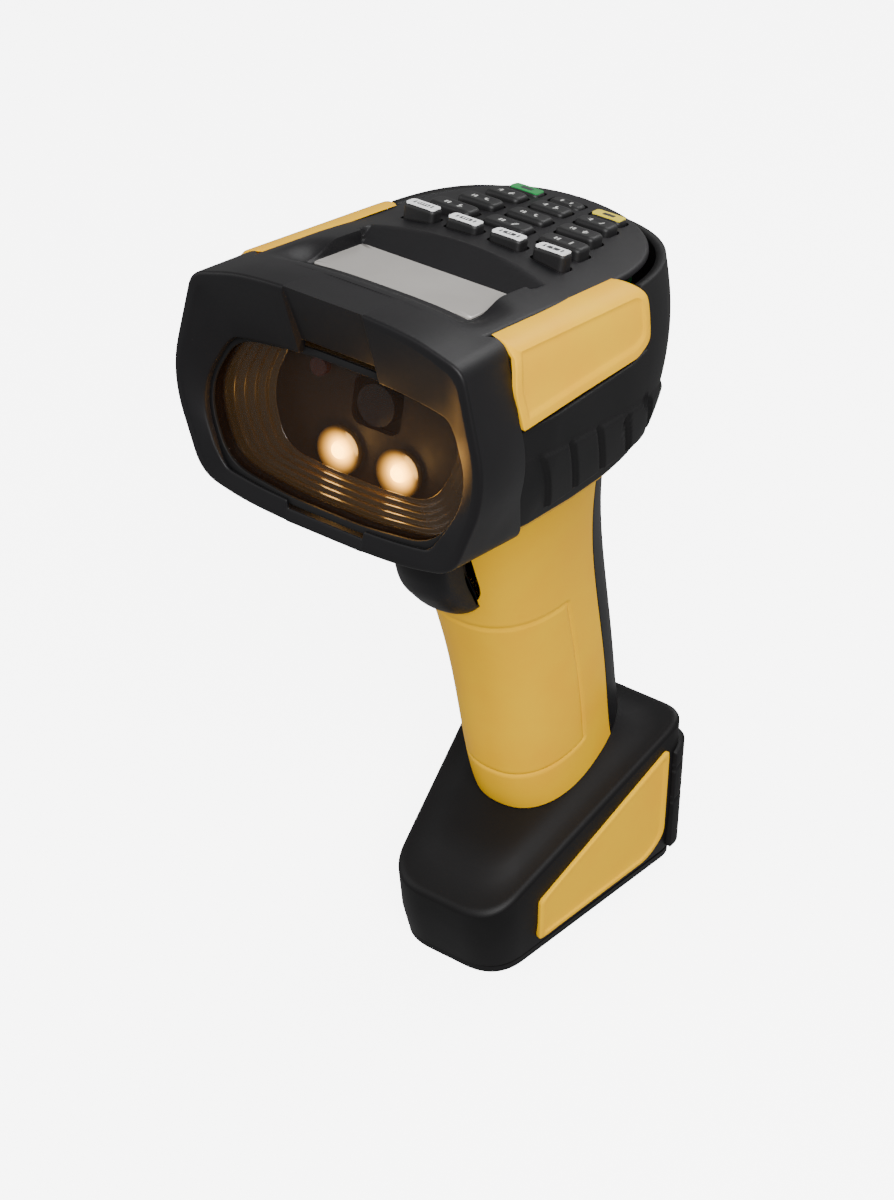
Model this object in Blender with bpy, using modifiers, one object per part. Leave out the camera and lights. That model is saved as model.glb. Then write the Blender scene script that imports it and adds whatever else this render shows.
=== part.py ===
"""Handheld barcode scanner with display, keypad and a removable battery foot.

Lengths are millimetres; MM turns them into metres. Each sub-part is one object, named for
what it is. The scanner stands on its foot at z = 0 and its scan window faces -Y. Pieces of the
head are drawn in the head's own frame: x sideways, y rearward along the keypad, z up from it.
"""
import math

import bmesh
import bpy
import numpy as np
from mathutils import Vector

MM = 0.001
GAP = 0.4  # clearance between neighbouring pieces

# Driving dimensions
LENGTH_MIDDLE = 54.65  # from the hood's front to the middle of the overall length
HEAD_HEIGHT = 210.0  # the head frame's origin above the floor
HEAD_PITCH = math.radians(13)  # the nose points up by this much
WALL = 3.0  # the hood's wall
BUMPER_WALL = 2.4
DECK_THICK = 4.0
DECK_CROWN = 1.6  # height of the deck's middle line in the head frame
DECK_FRONT, DECK_REAR, DECK_HALF_WIDTH = 13.1, 96.5, 29.7
SIDE_WIDEST = 36.0  # half width of the head behind the hood
SIDE_WIDEST_Z = -25.0
PLAN_CORNER_Y = 60.0  # where the head's plan starts to round off
PLAN_POWER = 2.8  # the rounding is a quarter of a superellipse of this power
HEAD_REAR = 100.0
HEAD_BOTTOM = -44.0
WINDOW_Y = 8.6  # front of the opening that the scan window closes
KEY_TRAVEL = 0.8
KEY_FLOOR = -3.9  # underside of the key caps
KEY_HOLE_GAP = 0.35
MAT_TOP = KEY_FLOOR - KEY_TRAVEL - 0.2
BOARD_TOP = MAT_TOP - 3.3
FOOT_NOSE, FOOT_TAIL = 38.3, 109.2
FOOT_SLOPE = 0.376  # rise of the foot's top edge per millimetre rearward
FOOT_NOSE_TOP = 19.0
FOOT_CROWN = 3.5
FOOT_TRAY_TOP = 2.6
TRIGGER_PIVOT = (0.0, 46.0, 139.0)

# Key rows: (distance along the deck, top height, half pitch of the columns, cap width, cap depth)
FUNCTION_ROW = dict(y=57.5, top=3.6, columns=(-15.8, -5.3, 5.3, 15.8), width=7.8, depth=4.0)
NUMBER_ROWS = (
    dict(y=66.0, top=2.7, columns=(-13.5, 0.0, 13.5), width=10.4, depth=5.2),
    dict(y=74.3, top=2.7, columns=(-12.2, 0.0, 12.2), width=9.4, depth=5.2),
    dict(y=83.0, top=2.5, columns=(-11.2, 0.0, 11.2), width=8.6, depth=5.2),
    dict(y=89.8, top=2.0, columns=(-10.3, 0.0, 10.3), width=7.8, depth=4.0),
)


for leftover in list(bpy.data.objects):
    bpy.data.objects.remove(leftover)
parts = bpy.data.collections.new("barcode_scanner")
cutters = bpy.data.collections.new("cutters")
bpy.context.scene.collection.children.link(parts)
bpy.context.scene.collection.children.link(cutters)


def finish(name, colour, roughness, metallic=0.0):
    """A Principled material; the colour is linear RGB."""
    material = bpy.data.materials.new(name)
    material.use_nodes = True
    shader = material.node_tree.nodes["Principled BSDF"]
    shader.inputs["Base Color"].default_value = (*colour, 1.0)
    shader.inputs["Roughness"].default_value = roughness
    shader.inputs["Metallic"].default_value = metallic
    return material


BLACK_PLASTIC = finish("black_plastic", (0.035, 0.033, 0.036), 0.5)
BLACK_RUBBER = finish("black_rubber", (0.028, 0.027, 0.029), 0.7)
YELLOW_PLASTIC = finish("yellow_plastic", (0.85, 0.52, 0.07), 0.35)
WHITE_KEY = finish("white_key", (0.80, 0.80, 0.80), 0.4)
GREEN_KEY = finish("green_key", (0.03, 0.33, 0.10), 0.4)
YELLOW_KEY = finish("yellow_key", (0.80, 0.68, 0.06), 0.4)
CLEAR = finish("clear_window", (0.60, 0.52, 0.40), 0.05)
DISPLAY_GREY = finish("display_glass", (0.33, 0.31, 0.29), 0.1)
AMBER = finish("amber_reflector", (0.60, 0.28, 0.06), 0.15)
LED_LENS = finish("led_lens", (0.95, 0.85, 0.60), 0.1)
BOARD_GREEN = finish("circuit_board", (0.02, 0.15, 0.06), 0.4)
STEEL = finish("steel", (0.50, 0.50, 0.52), 0.3, 1.0)
CONTACT_GOLD = finish("gold_contact", (0.80, 0.55, 0.20), 0.25, 1.0)
CELL_BLUE = finish("cell_wrap", (0.05, 0.12, 0.30), 0.4)


def frame_empty(name, location, parent=None, pitch=0.0):
    empty = bpy.data.objects.new(name, None)
    empty.location = Vector(location) * MM
    empty.rotation_euler.x = pitch
    empty.parent = parent
    parts.objects.link(empty)
    return empty


SCANNER = frame_empty("scanner", (0, -LENGTH_MIDDLE, 0))
HEAD = frame_empty("head", (0, 0, HEAD_HEIGHT), SCANNER, -HEAD_PITCH)
FOOT = frame_empty("foot", (0, 0, 0), SCANNER)


def place(name, mesh, material, parent, origin=(0, 0, 0)):
    obj = bpy.data.objects.new(name, mesh)
    obj.location = Vector(origin) * MM
    obj.parent = parent
    if material is None:
        obj.hide_render = True
        obj.display_type = "WIRE"
        cutters.objects.link(obj)
    else:
        mesh.materials.append(material)
        parts.objects.link(obj)
    return obj


def mesh_from(name, points, faces):
    mesh = bpy.data.meshes.new(name)
    mesh.from_pydata((np.asarray(points, float) * MM).tolist(), [], faces)
    mesh.shade_smooth()
    mesh.set_sharp_from_angle(angle=math.radians(35))
    return mesh


def grid_faces(rows, columns, closed):
    """Quads of a grid of points; closed joins the last column to the first."""
    wrap = columns if closed else columns - 1
    return [
        (r * columns + c, r * columns + (c + 1) % columns,
         (r + 1) * columns + (c + 1) % columns, (r + 1) * columns + c)
        for r in range(rows - 1) for c in range(wrap)
    ]


def shell(name, grid, wall, material, parent, closed=False, origin=(0, 0, 0)):
    """An open surface through a grid of points, given its wall on the inner side."""
    grid = np.asarray(grid, float)
    rows, columns = grid.shape[:2]
    mesh = mesh_from(name, grid.reshape(-1, 3), grid_faces(rows, columns, closed))
    obj = place(name, mesh, material, parent, origin)
    solid = obj.modifiers.new("wall", "SOLIDIFY")
    solid.thickness = wall * MM
    solid.offset = -1
    solid.use_even_offset = True
    return obj


def loft(name, rings, material, parent, origin=(0, 0, 0)):
    """A solid skinned through closed rings of equal point counts, capped at both ends."""
    rings = np.asarray(rings, float)
    count, size = rings.shape[:2]
    faces = grid_faces(count, size, True)
    faces.append(tuple(range(size))[::-1])
    faces.append(tuple((count - 1) * size + i for i in range(size)))
    mesh = mesh_from(name, rings.reshape(-1, 3), faces)
    outward(mesh)
    return place(name, mesh, material, parent, origin)


def ring_solid(name, rings, material, parent):
    """A tube skinned through closed rings whose last ring joins the first again."""
    rings = np.asarray(rings, float)
    count, size = rings.shape[:2]
    faces = grid_faces(count, size, True)
    last = (count - 1) * size
    faces += [(last + i, last + (i + 1) % size, (i + 1) % size, i) for i in range(size)]
    mesh = mesh_from(name, rings.reshape(-1, 3), faces)
    outward(mesh)
    return place(name, mesh, material, parent)


def outward(mesh):
    work = bmesh.new()
    work.from_mesh(mesh)
    bmesh.ops.recalc_face_normals(work, faces=work.faces)
    work.to_mesh(mesh)
    work.free()


def box(name, size, centre, material, parent, bevel=0.0, segments=2):
    work = bmesh.new()
    bmesh.ops.create_cube(work, size=1.0)
    bmesh.ops.scale(work, vec=Vector(size) * MM, verts=work.verts)
    mesh = bpy.data.meshes.new(name)
    work.to_mesh(mesh)
    work.free()
    obj = place(name, mesh, material, parent, centre)
    if bevel:
        edge = obj.modifiers.new("edge", "BEVEL")
        edge.width = bevel * MM
        edge.segments = segments
    return obj


def cylinder(name, radius, length, centre, material, parent, axis="Z", sides=24):
    work = bmesh.new()
    bmesh.ops.create_cone(work, cap_ends=True, segments=sides, radius1=radius * MM,
                          radius2=radius * MM, depth=length * MM)
    mesh = bpy.data.meshes.new(name)
    work.to_mesh(mesh)
    work.free()
    mesh.shade_smooth()
    mesh.set_sharp_from_angle(angle=math.radians(35))
    obj = place(name, mesh, material, parent, centre)
    if axis == "X":
        obj.rotation_euler.y = math.pi / 2
    if axis == "Y":
        obj.rotation_euler.x = -math.pi / 2
    return obj


def turned(name, profile, origin, material, parent, pitch=0.0, steps=16):
    """A profile of (radius, height) points, from the top down, turned round z."""
    mesh = bpy.data.meshes.new(name)
    points = [(radius * MM, 0, height * MM) for radius, height in profile]
    mesh.from_pydata(points, [(i, i + 1) for i in range(len(points) - 1)], [])
    obj = place(name, mesh, material, parent, origin)
    obj.rotation_euler.x = pitch
    turn = obj.modifiers.new("turn", "SCREW")
    turn.steps = turn.render_steps = steps
    turn.use_merge_vertices = True
    turn.merge_threshold = 0.0001
    return obj


def cut(obj, cutter):
    removal = obj.modifiers.new("cut " + cutter.name, "BOOLEAN")
    removal.operation = "DIFFERENCE"
    removal.object = cutter


def join(obj, other):
    """Adds the other solid, kept as a hidden guide, to this one."""
    union = obj.modifiers.new("join " + other.name, "BOOLEAN")
    union.operation = "UNION"
    union.object = other


def rounded(corners, steps=4):
    """A closed outline: each corner (x, y, setback) becomes a smooth bend of steps + 1 points."""
    outline = []
    share = np.linspace(0, 1, steps + 1)[:, None]
    for i, (x, y, setback) in enumerate(corners):
        here = np.array([x, y], float)
        before = np.array(corners[i - 1][:2], float) - here
        after = np.array(corners[(i + 1) % len(corners)][:2], float) - here
        start = here + before * setback / np.linalg.norm(before)
        end = here + after * setback / np.linalg.norm(after)
        outline.extend((1 - share) ** 2 * start + 2 * share * (1 - share) * here + share ** 2 * end)
    return np.array(outline)


def mirrored(half):
    """Corners of the right half, from the top middle down, and their mirror image."""
    return list(half) + [(-x, y, setback) for x, y, setback in reversed(half)]


def superellipse(half_width, half_depth, power, angles):
    cosine, sine = np.cos(angles), np.sin(angles)
    x = half_width * np.sign(cosine) * np.abs(cosine) ** (2 / power)
    y = half_depth * np.sign(sine) * np.abs(sine) ** (2 / power)
    return x, y


# Head

def deck_height(x):
    """The deck is crowned: highest along its middle."""
    return DECK_CROWN - 4.2 * (x / 31.7) ** 2


def side_half_width(z):
    """Half width of the head's side at a height: widest a little above the middle."""
    return SIDE_WIDEST - 4.8 * ((z - SIDE_WIDEST_Z) / 22.6) ** 2


def plan_path(half_width, front, rear, inset, count_side, count_rear):
    """Points (x, y) round the head's plan, from the +X side's front end to the -X side's."""
    side = np.linspace(front, PLAN_CORNER_Y, count_side, endpoint=False)
    angles = np.linspace(0, math.pi, count_rear)
    x, y = superellipse(half_width - inset, rear - inset - PLAN_CORNER_Y, PLAN_POWER, angles)
    right = np.stack([np.full(count_side, half_width - inset), side], 1)
    left = right[::-1] * (-1, 1)
    return np.concatenate([right, np.stack([x, y + PLAN_CORNER_Y], 1), left])


def hood_ring(half, y_of_z):
    """A ring of the hood: an outline in x and z whose points sit at y_of_z(z)."""
    outline = rounded(mirrored(half))
    return np.stack([outline[:, 0], y_of_z(outline[:, 1]), outline[:, 1]], 1)


def rim_y(z):
    """The rim leans: its lower edge stands further back in the head frame."""
    return 0.1 - 0.185 * z


def hood_rear_y(z):
    """The hood's rear edge is straight across the top and sweeps back down the sides."""
    return 12.5 + 14.0 * np.sqrt(np.clip(-z - 7, 0, 41) / 41)


OPENING = ((9.0, -14.4, 4), (26.5, -16.6, 5), (32.5, -30.0, 9), (25.5, -44.4, 6), (8.0, -46.4, 5))


def grown(half, amount):
    """The outline with its corners moved out from its middle height by an amount."""
    return tuple(
        (x + amount * (x > 20), z + amount * (1 if z > -20 else -1 if z < -40 else 0), setback)
        for x, z, setback in half
    )


def front_hood():
    """Flared hood: rim, sloped inner faces down to the window opening, and outer walls."""
    rim = ((9.7, 1.7, 3), (31.7, -2.6, 3), (38.0, -27.0, 9), (30.9, -48.0, 5), (10.0, -51.2, 6))
    lip = ((9.7, 0.2, 3), (29.9, -4.6, 3), (35.7, -27.0, 9), (29.4, -46.4, 5), (10.0, -49.6, 6))
    rear = ((9.7, 1.6, 3), (31.2, -1.9, 3), (37.3, -26.0, 9), (31.2, -48.6, 5), (10.0, -50.6, 6))
    inner = ((9.7, 1.6 - WALL, 3), (31.2 - WALL, -1.9 - WALL, 3), (37.3 - WALL, -26.0, 9),
             (31.2 - WALL, -47.0, 5), (10.0, -49.0, 6))
    rings = [
        hood_ring(rear, hood_rear_y),
        hood_ring(rim, rim_y),
        hood_ring(lip, rim_y),
        hood_ring(OPENING, lambda z: WINDOW_Y + 0 * z),
        hood_ring(OPENING, lambda z: WINDOW_Y + 1.6 + 0 * z),
        hood_ring(inner, lambda z: WINDOW_Y + 1.6 + 0 * z),
        hood_ring(inner, hood_rear_y),
    ]
    return ring_solid("front_hood", rings, BLACK_PLASTIC, HEAD)


def plate_ring(name, outer, inner, front, thickness, material):
    """A flat ring across the head between two outlines."""
    rings = [hood_ring(outline, lambda z, y=y: y + 0 * z) for outline, y in (
        (outer, front), (outer, front + thickness), (inner, front + thickness), (inner, front))]
    return ring_solid(name, rings, material, HEAD)


def window_pieces():
    """The clear scan window, its rubber gasket and the amber light frame behind it."""
    flange = WINDOW_Y + 1.6
    outline = grown(OPENING, 1.0)
    plate_ring("window_gasket", outline, grown(OPENING, -0.6), flange + 0.3, 0.8, BLACK_RUBBER)
    window = flange + 1.4
    rings = [hood_ring(outline, lambda z, y=y: y + 0 * z) for y in (window, window + 2.0)]
    loft("scan_window", rings, CLEAR, HEAD)
    frame_front = window + 2.4
    inner = ((6.0, -19.0, 3), (17.0, -20.0, 4), (19.0, -29.0, 5), (16.0, -39.0, 4), (6.0, -40.0, 3))
    plate_ring("light_frame", OPENING, inner, frame_front, 6.0, AMBER)


def deck_cutters():
    """The display's opening with its sloped rear wall, and one hole for each key."""
    opening_half, front, rear = 18.9, 23.1, 40.8
    box("display_cut", (2 * opening_half, rear - front, 12),
        (0, (front + rear) / 2, 0), None, HEAD)
    slope_rear, recess_floor, top = 50.0, -2.4, 4.0
    ramp = (top - recess_floor) * (slope_rear - rear) / (DECK_CROWN - recess_floor)
    profile = ((front, recess_floor), (rear, recess_floor), (rear + ramp, top), (front, top))
    rings = [[(x, y, z) for y, z in profile] for x in (-opening_half - 1.5, opening_half + 1.5)]
    loft("display_slope_cut", rings, None, HEAD)
    for number, key in enumerate(keys(), 1):
        x, y, width, depth, _ = key
        box(f"key_cut_{number:02d}", (width + 2 * KEY_HOLE_GAP, depth + 2 * KEY_HOLE_GAP, 16),
            (x, y, 0), None, HEAD)


def keys():
    """(x, y, width, depth, top) of each key, front row first, from -X to +X."""
    for row in (FUNCTION_ROW, *NUMBER_ROWS):
        for x in row["columns"]:
            yield x, row["y"], row["width"], row["depth"], row["top"]


def deck_half_width(y):
    """Half width of the deck: straight, a step in beside the bumper, then rounded to the rear."""
    reach = np.clip((y - PLAN_CORNER_Y) / (DECK_REAR - PLAN_CORNER_Y), 0, 1)
    step_in = 2.2 * np.clip((y - 57) / 9, 0, 1)
    return (DECK_HALF_WIDTH - step_in) * (1 - reach ** PLAN_POWER) ** (1 / PLAN_POWER)


def keypad_deck():
    """The crowned top cover that holds the display and the keys."""
    side = np.linspace(DECK_FRONT, PLAN_CORNER_Y, 8, endpoint=False)
    bend = np.sin(np.linspace(0, math.pi / 2, 14)) * (DECK_REAR - PLAN_CORNER_Y) + PLAN_CORNER_Y
    stations = np.concatenate([side, bend[:-1], [DECK_REAR - 0.15]])
    across = np.linspace(-1, 1, 19)
    half = deck_half_width(stations)[:, None]
    x = across[None, :] * half
    y = np.repeat(stations[:, None], len(across), 1)
    top = np.stack([x, y, deck_height(x)], 2)
    bottom = top - (0, 0, DECK_THICK)
    rows, columns = top.shape[:2]
    count = rows * columns
    faces = grid_faces(rows, columns, False)
    faces += [tuple(i + count for i in face[::-1]) for face in grid_faces(rows, columns, False)]
    rim = ([c for c in range(columns)] + [r * columns + columns - 1 for r in range(1, rows)]
           + [(rows - 1) * columns + c for c in range(columns - 2, -1, -1)]
           + [r * columns for r in range(rows - 2, 0, -1)])
    faces += [(a, b, b + count, a + count) for a, b in zip(rim, rim[1:] + rim[:1])]
    mesh = mesh_from("keypad_deck", np.concatenate([top.reshape(-1, 3), bottom.reshape(-1, 3)]), faces)
    outward(mesh)
    deck = place("keypad_deck", mesh, BLACK_PLASTIC, HEAD)
    deck_cutters()
    for cutter in cutters.objects:
        if cutter.name.startswith(("display", "key_cut")):
            cut(deck, cutter)
    return deck


def key_caps():
    """Sixteen caps: four white function keys, ten black ones, and a green and a yellow one."""
    for number, (x, y, width, depth, top) in enumerate(keys(), 1):
        material = WHITE_KEY if number <= 4 else BLACK_RUBBER
        if number == 14:
            material = GREEN_KEY
        if number == 16:
            material = YELLOW_KEY
        height = top - KEY_FLOOR
        box(f"key_{number:02d}", (width, depth, height), (x, y, KEY_FLOOR + height / 2),
            material, HEAD, bevel=0.7)


def display():
    """A lens in the deck's opening over the display module."""
    middle = 31.95
    lens_top = -2.2
    box("display_lens", (37.2, 17.1, 1.0), (0, middle, lens_top - 0.5), DISPLAY_GREY, HEAD)
    box("display_module", (36.0, 16.4, 4.0), (0, middle, lens_top - 3.5), BOARD_GREEN, HEAD)


def electronics():
    """Keypad mat, main board and what is soldered to it."""
    outline = rounded(((20, 54, 2), (20, 80, 4), (15, 92.5, 3), (-15, 92.5, 3), (-20, 80, 4),
                       (-20, 54, 2)), 2)
    loft("keypad_mat", [np.column_stack([outline, np.full(len(outline), z)])
                        for z in (MAT_TOP - 1.0, MAT_TOP)], BLACK_RUBBER, HEAD)
    box("main_board", (40, 40, 1.6), (0, 66, BOARD_TOP - 0.8), BOARD_GREEN, HEAD)
    under = BOARD_TOP - 1.6 - GAP
    cylinder("beeper", 6.0, 4.5, (11, 76, under - 2.25), BLACK_PLASTIC, HEAD)
    box("radio_board", (18, 20, 2.4), (-9, 72, under - 1.2), BOARD_GREEN, HEAD)


def scan_engine():
    """Illumination board with two LEDs, and the imaging engine with its lens and aimer."""
    board_front = 26.0
    box("illumination_board", (48, 1.6, 25), (0, board_front + 0.8, -29.5), BOARD_GREEN, HEAD)
    cut(bpy.data.objects["illumination_board"],
        box("lens_cut", (13, 10, 11), (0, board_front, -26.5), None, HEAD))
    for side, x in (("right", -7.3), ("left", 7.3)):
        cylinder("led_" + side, 2.6, 2.4, (x, board_front - 1.6, -39.5), LED_LENS, HEAD, "Y")
    box("engine_chassis", (40, 18, 20), (0, board_front + 12.0, -29.5), BLACK_PLASTIC, HEAD, 1.0)
    cylinder("imager_lens", 4.5, 5.0, (0, board_front, -26.5), BLACK_PLASTIC, HEAD, "Y")
    cylinder("aimer", 2.0, 3.0, (-14, board_front - 2.0, -22.5), STEEL, HEAD, "Y")


def head_tub():
    """Open-topped inner casing of the head, with its mouth for the scan engine."""
    front, wall, corner_inset = 29.0, 2.2, 1.2
    heights = np.array([-9.0, -17.0, -25.0, -33.0, -39.0, -42.5, -44.2])
    insets = BUMPER_WALL + 0.9 + np.array([0, 0, 0, 0, 0, 0.8, 3.5])
    rings = []
    for z, inset in zip(heights, insets):
        half = side_half_width(z)
        path = plan_path(half, front + corner_inset * inset, rear_reach(z), inset, 6, 25)
        rings.append(np.column_stack([path, np.full(len(path), z)]))
    rings = np.array(rings)
    count, size = rings.shape[:2]
    faces = [face[::-1] for face in grid_faces(count, size, True)]
    faces.append(tuple((count - 1) * size + i for i in range(size)))
    mesh = mesh_from("head_tub", rings.reshape(-1, 3), faces)
    outward(mesh)
    tub = place("head_tub", mesh, YELLOW_PLASTIC, HEAD)
    solid = tub.modifiers.new("wall", "SOLIDIFY")
    solid.thickness = wall * MM
    solid.offset = -1
    cut(tub, box("mouth_cut", (52, 20, 40), (0, front + 3, -20.0), None, HEAD))
    cut(tub, box("cable_cut", (14, 14, 20), (0, 64, HEAD_BOTTOM), None, HEAD))
    return tub


def rear_reach(z):
    """How far back the head goes at a height: the rear face leans in towards the handle."""
    return HEAD_REAR - 9.0 * np.clip((-z - 8) / 36, 0, 1) ** 1.5


def rubber_bumper():
    """Rubber band round the head's sides and rear; it rises behind the side panels."""
    path = plan_path(1.0, 24.0, HEAD_REAR, 0.0, 12, 45)
    levels = np.linspace(0, 1, 9)
    grid = []
    for share in levels:
        row = []
        for x, y in path:
            lower = np.interp(y, (50, 62, 80, 89, 96), (-43.6, -42.0, -38.7, -32.0, -29.0))
            upper = np.interp(y, (24, 63, 70.5, 73, 100), (-19.7, -16.4, -14.6, -2.4, -0.9))
            z = lower + (upper - lower) * share
            rise = np.clip((z + 14) / 12, 0, 1) * np.exp(-np.clip(y - 70, 0, None) / 6)
            shift = -3.5 * rise * (y > 69)
            seam = np.interp(z, (-44, -30, -19), (3.2, 1.4, 0.0)) * np.clip((44 - y) / 20, 0, 1)
            reach = (rear_reach(z) - PLAN_CORNER_Y) / (HEAD_REAR - PLAN_CORNER_Y)
            depth = y if y < PLAN_CORNER_Y else PLAN_CORNER_Y + (y - PLAN_CORNER_Y) * reach
            row.append((x * side_half_width(z), depth + shift + seam, z))
        grid.append(row)
    return shell("rubber_bumper", np.array(grid), BUMPER_WALL, BLACK_RUBBER, HEAD)


def side_panels():
    """Yellow panels in the head's sides, one each side."""
    for side, sign in (("left", 1), ("right", -1)):
        grid = []
        for t in np.linspace(0, 1, 8):
            front = float(hood_rear_y(-2.9 - 16.1 * t)) + 0.7
            rear = 60.0 + 8.0 * math.sin(min(1.0, 1.35 * t) * math.pi / 2) - 4.5 * max(0, t - 0.8) / 0.2
            row = []
            for y in np.linspace(front, rear, 14):
                bottom = np.interp(y, (20, 63), (-19.0, -15.8))
                z = -2.9 + (bottom + 2.9) * t
                path_share = np.clip((y - PLAN_CORNER_Y) / (HEAD_REAR - PLAN_CORNER_Y), 0, 1)
                x = side_half_width(z) * (1 - path_share ** PLAN_POWER) ** (1 / PLAN_POWER)
                row.append((sign * x, y, z))
            grid.append(row[::-sign] if sign == 1 else row)
        shell(f"{side}_panel", np.array(grid), 1.2, YELLOW_PLASTIC, HEAD)


# Handle

def foot_top(x, y):
    """Height of the foot's crowned, sloping top."""
    rim = FOOT_NOSE_TOP + FOOT_SLOPE * (y - FOOT_NOSE)
    return rim + FOOT_CROWN * np.clip(1 - (x / 24) ** 2, 0, 1)


HANDLE_HEIGHTS = (46, 60, 75, 90, 105, 115, 125, 135, 145, 156)
HANDLE_MIDDLES = (86.0, 83.0, 79.8, 76.9, 73.4, 70.5, 66.8, 64.0, 61.0, 57.5)
HANDLE_HALF_DEPTHS = (21.5, 22.2, 22.4, 22.8, 23.6, 24.6, 25.6, 26.2, 26.6, 27.0)
HANDLE_HALF_WIDTHS = (14.8, 15.2, 15.6, 15.8, 16.0, 16.4, 17.4, 19.0, 21.2, 24.0)
HANDLE_POWER = 2.3


def handle_section(z, angles):
    """Points (x, y) of the handle's outline at a height."""
    half_width = np.interp(z, HANDLE_HEIGHTS, HANDLE_HALF_WIDTHS)
    half_depth = np.interp(z, HANDLE_HEIGHTS, HANDLE_HALF_DEPTHS)
    x, y = superellipse(half_width, half_depth, HANDLE_POWER, angles)
    return x, y + np.interp(z, HANDLE_HEIGHTS, HANDLE_MIDDLES)


def under_head(y):
    """Height of the head's tilted underside above a place along the scanner."""
    drop = (y - HEAD_BOTTOM * math.sin(HEAD_PITCH)) * math.tan(HEAD_PITCH)
    return HEAD_HEIGHT + (HEAD_BOTTOM - 1.7) * math.cos(HEAD_PITCH) - drop


def handle_grid(start, end, rise_behind):
    """Rows of handle outline between two angles, from above the foot to below the head."""
    angles = np.linspace(start, end, 23)
    low, high = HANDLE_HEIGHTS[0], HANDLE_HEIGHTS[-1]
    grid = []
    for share in np.linspace(0, 1, 15):
        x, y = handle_section(low + (high - low) * share, angles)
        base = foot_top(x, y) + GAP
        top = under_head(y) + rise_behind * np.clip((y - 77) / 6, 0, 1)
        grid.append(np.stack([x, y, base + (top - base) * share], 1))
    return np.array(grid)


SPLIT_ANGLE = math.radians(17)  # where the front shell meets the back cover


def handle_shells():
    """Yellow front shell with the trigger's opening, and the black back cover."""
    margin = math.radians(1.2)
    wall = 2.4
    front_grid = handle_grid(-math.pi - SPLIT_ANGLE + margin, SPLIT_ANGLE - margin, 0)
    front = shell("handle_front", front_grid, wall, YELLOW_PLASTIC, SCANNER)
    cut(front, box("trigger_cut", (20.4, 44, 48), (0, 34, 131.5), None, SCANNER))
    rise = 9.0  # the back cover reaches up behind the head
    back_grid = handle_grid(SPLIT_ANGLE + margin, math.pi - SPLIT_ANGLE - margin, rise)
    back = shell("handle_back", back_grid, wall, BLACK_PLASTIC, SCANNER)
    for number, z in ((1, 62), (2, 118)):
        origin = (0, float(np.interp(z, HANDLE_HEIGHTS, HANDLE_MIDDLES)
                           + np.interp(z, HANDLE_HEIGHTS, HANDLE_HALF_DEPTHS)), z)
        hole = cylinder(f"back_screw_cut_{number}", 2.7, 12, origin, None, SCANNER, "Y")
        cut(back, hole)
        profile = ((0, 0), (2.3, 0), (2.3, -2.0), (1.2, -2.2), (1.2, -10.0), (0, -10.0))
        turned(f"back_screw_{number}", profile, (0, origin[1] - 0.6, z), STEEL, SCANNER,
               pitch=-math.pi / 2)
    return front, back


def trigger_pieces():
    """Trigger on its pin, with the return spring round the pin and the switch behind it."""
    profile = ((31.0, 140.5), (27.2, 135.0), (26.3, 129.5), (28.3, 122.5), (34.0, 115.2),
               (41.5, 110.2), (47.5, 109.0), (48.6, 112.5), (46.0, 118.0), (43.0, 124.0),
               (41.5, 131.0), (42.5, 142.5), (38.0, 145.0))
    half = 8.6
    outline = np.array([(y, z) for y, z in profile])
    middle = outline.mean(0)
    rings = []
    for x, scale in ((-half, 0.86), (-half + 1.6, 0.96), (-half + 4, 1.0), (half - 4, 1.0),
                     (half - 1.6, 0.96), (half, 0.86)):
        ring = middle + (outline - middle) * scale
        rings.append(np.column_stack([np.full(len(ring), x), ring]))
    pivot = np.array(TRIGGER_PIVOT)
    trigger = loft("trigger", np.array(rings) - pivot, BLACK_PLASTIC, SCANNER, TRIGGER_PIVOT)
    hub = cylinder("trigger_hub_guide", 3.4, 12, TRIGGER_PIVOT, None, SCANNER, "X")
    join(trigger, hub)
    neck = box("trigger_neck_guide", (11.6, 6, 4), (0, 42.6, 139.0), None, SCANNER)
    join(trigger, neck)
    cut(trigger, cylinder("trigger_bore_cut", 1.8, 60, TRIGGER_PIVOT, None, SCANNER, "X"))
    cylinder("trigger_pin", 1.5, 26, TRIGGER_PIVOT, STEEL, SCANNER, "X")
    box("trigger_switch", (7, 6, 6), (0, 54.6, 116.5), BLACK_PLASTIC, SCANNER, 0.4)
    spring_wire()


def spring_wire():
    """Torsion spring: a coil round the pin beside the trigger's hub, with one straight leg."""
    wire_radius, coil_radius, turns, per_turn = 0.35, 2.4, 4, 10
    curve = bpy.data.curves.new("trigger_spring", "CURVE")
    curve.dimensions = "3D"
    curve.bevel_depth = wire_radius * MM
    curve.bevel_resolution = 1
    curve.use_fill_caps = True
    spline = curve.splines.new("POLY")
    angles = np.arange(turns * per_turn + 1) * 2 * math.pi / per_turn
    x = 6.9 + angles / (2 * math.pi) * 0.85
    points = np.stack([x, coil_radius * np.sin(angles), coil_radius * np.cos(angles)], 1)
    leg = points[-1] + (0, 9.0, 0)
    points = np.vstack([points, leg])
    spline.points.add(len(points) - 1)
    for point, place_at in zip(spline.points, points * MM):
        point.co = (*place_at, 1)
    spring = bpy.data.objects.new("trigger_spring", curve)
    spring.location = Vector(TRIGGER_PIVOT) * MM
    spring.parent = SCANNER
    curve.materials.append(STEEL)
    parts.objects.link(spring)


# Battery foot

def foot_outline(nose, tail, inset=0.0):
    """The foot's plan: a narrow round nose widening to a square tail with round corners."""
    corners = ((15.4 - inset, nose + inset, 10), (28.0 - inset, tail - inset, 7),
               (-28.0 + inset, tail - inset, 7), (-15.4 + inset, nose + inset, 10))
    return rounded(corners, 6)


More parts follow.
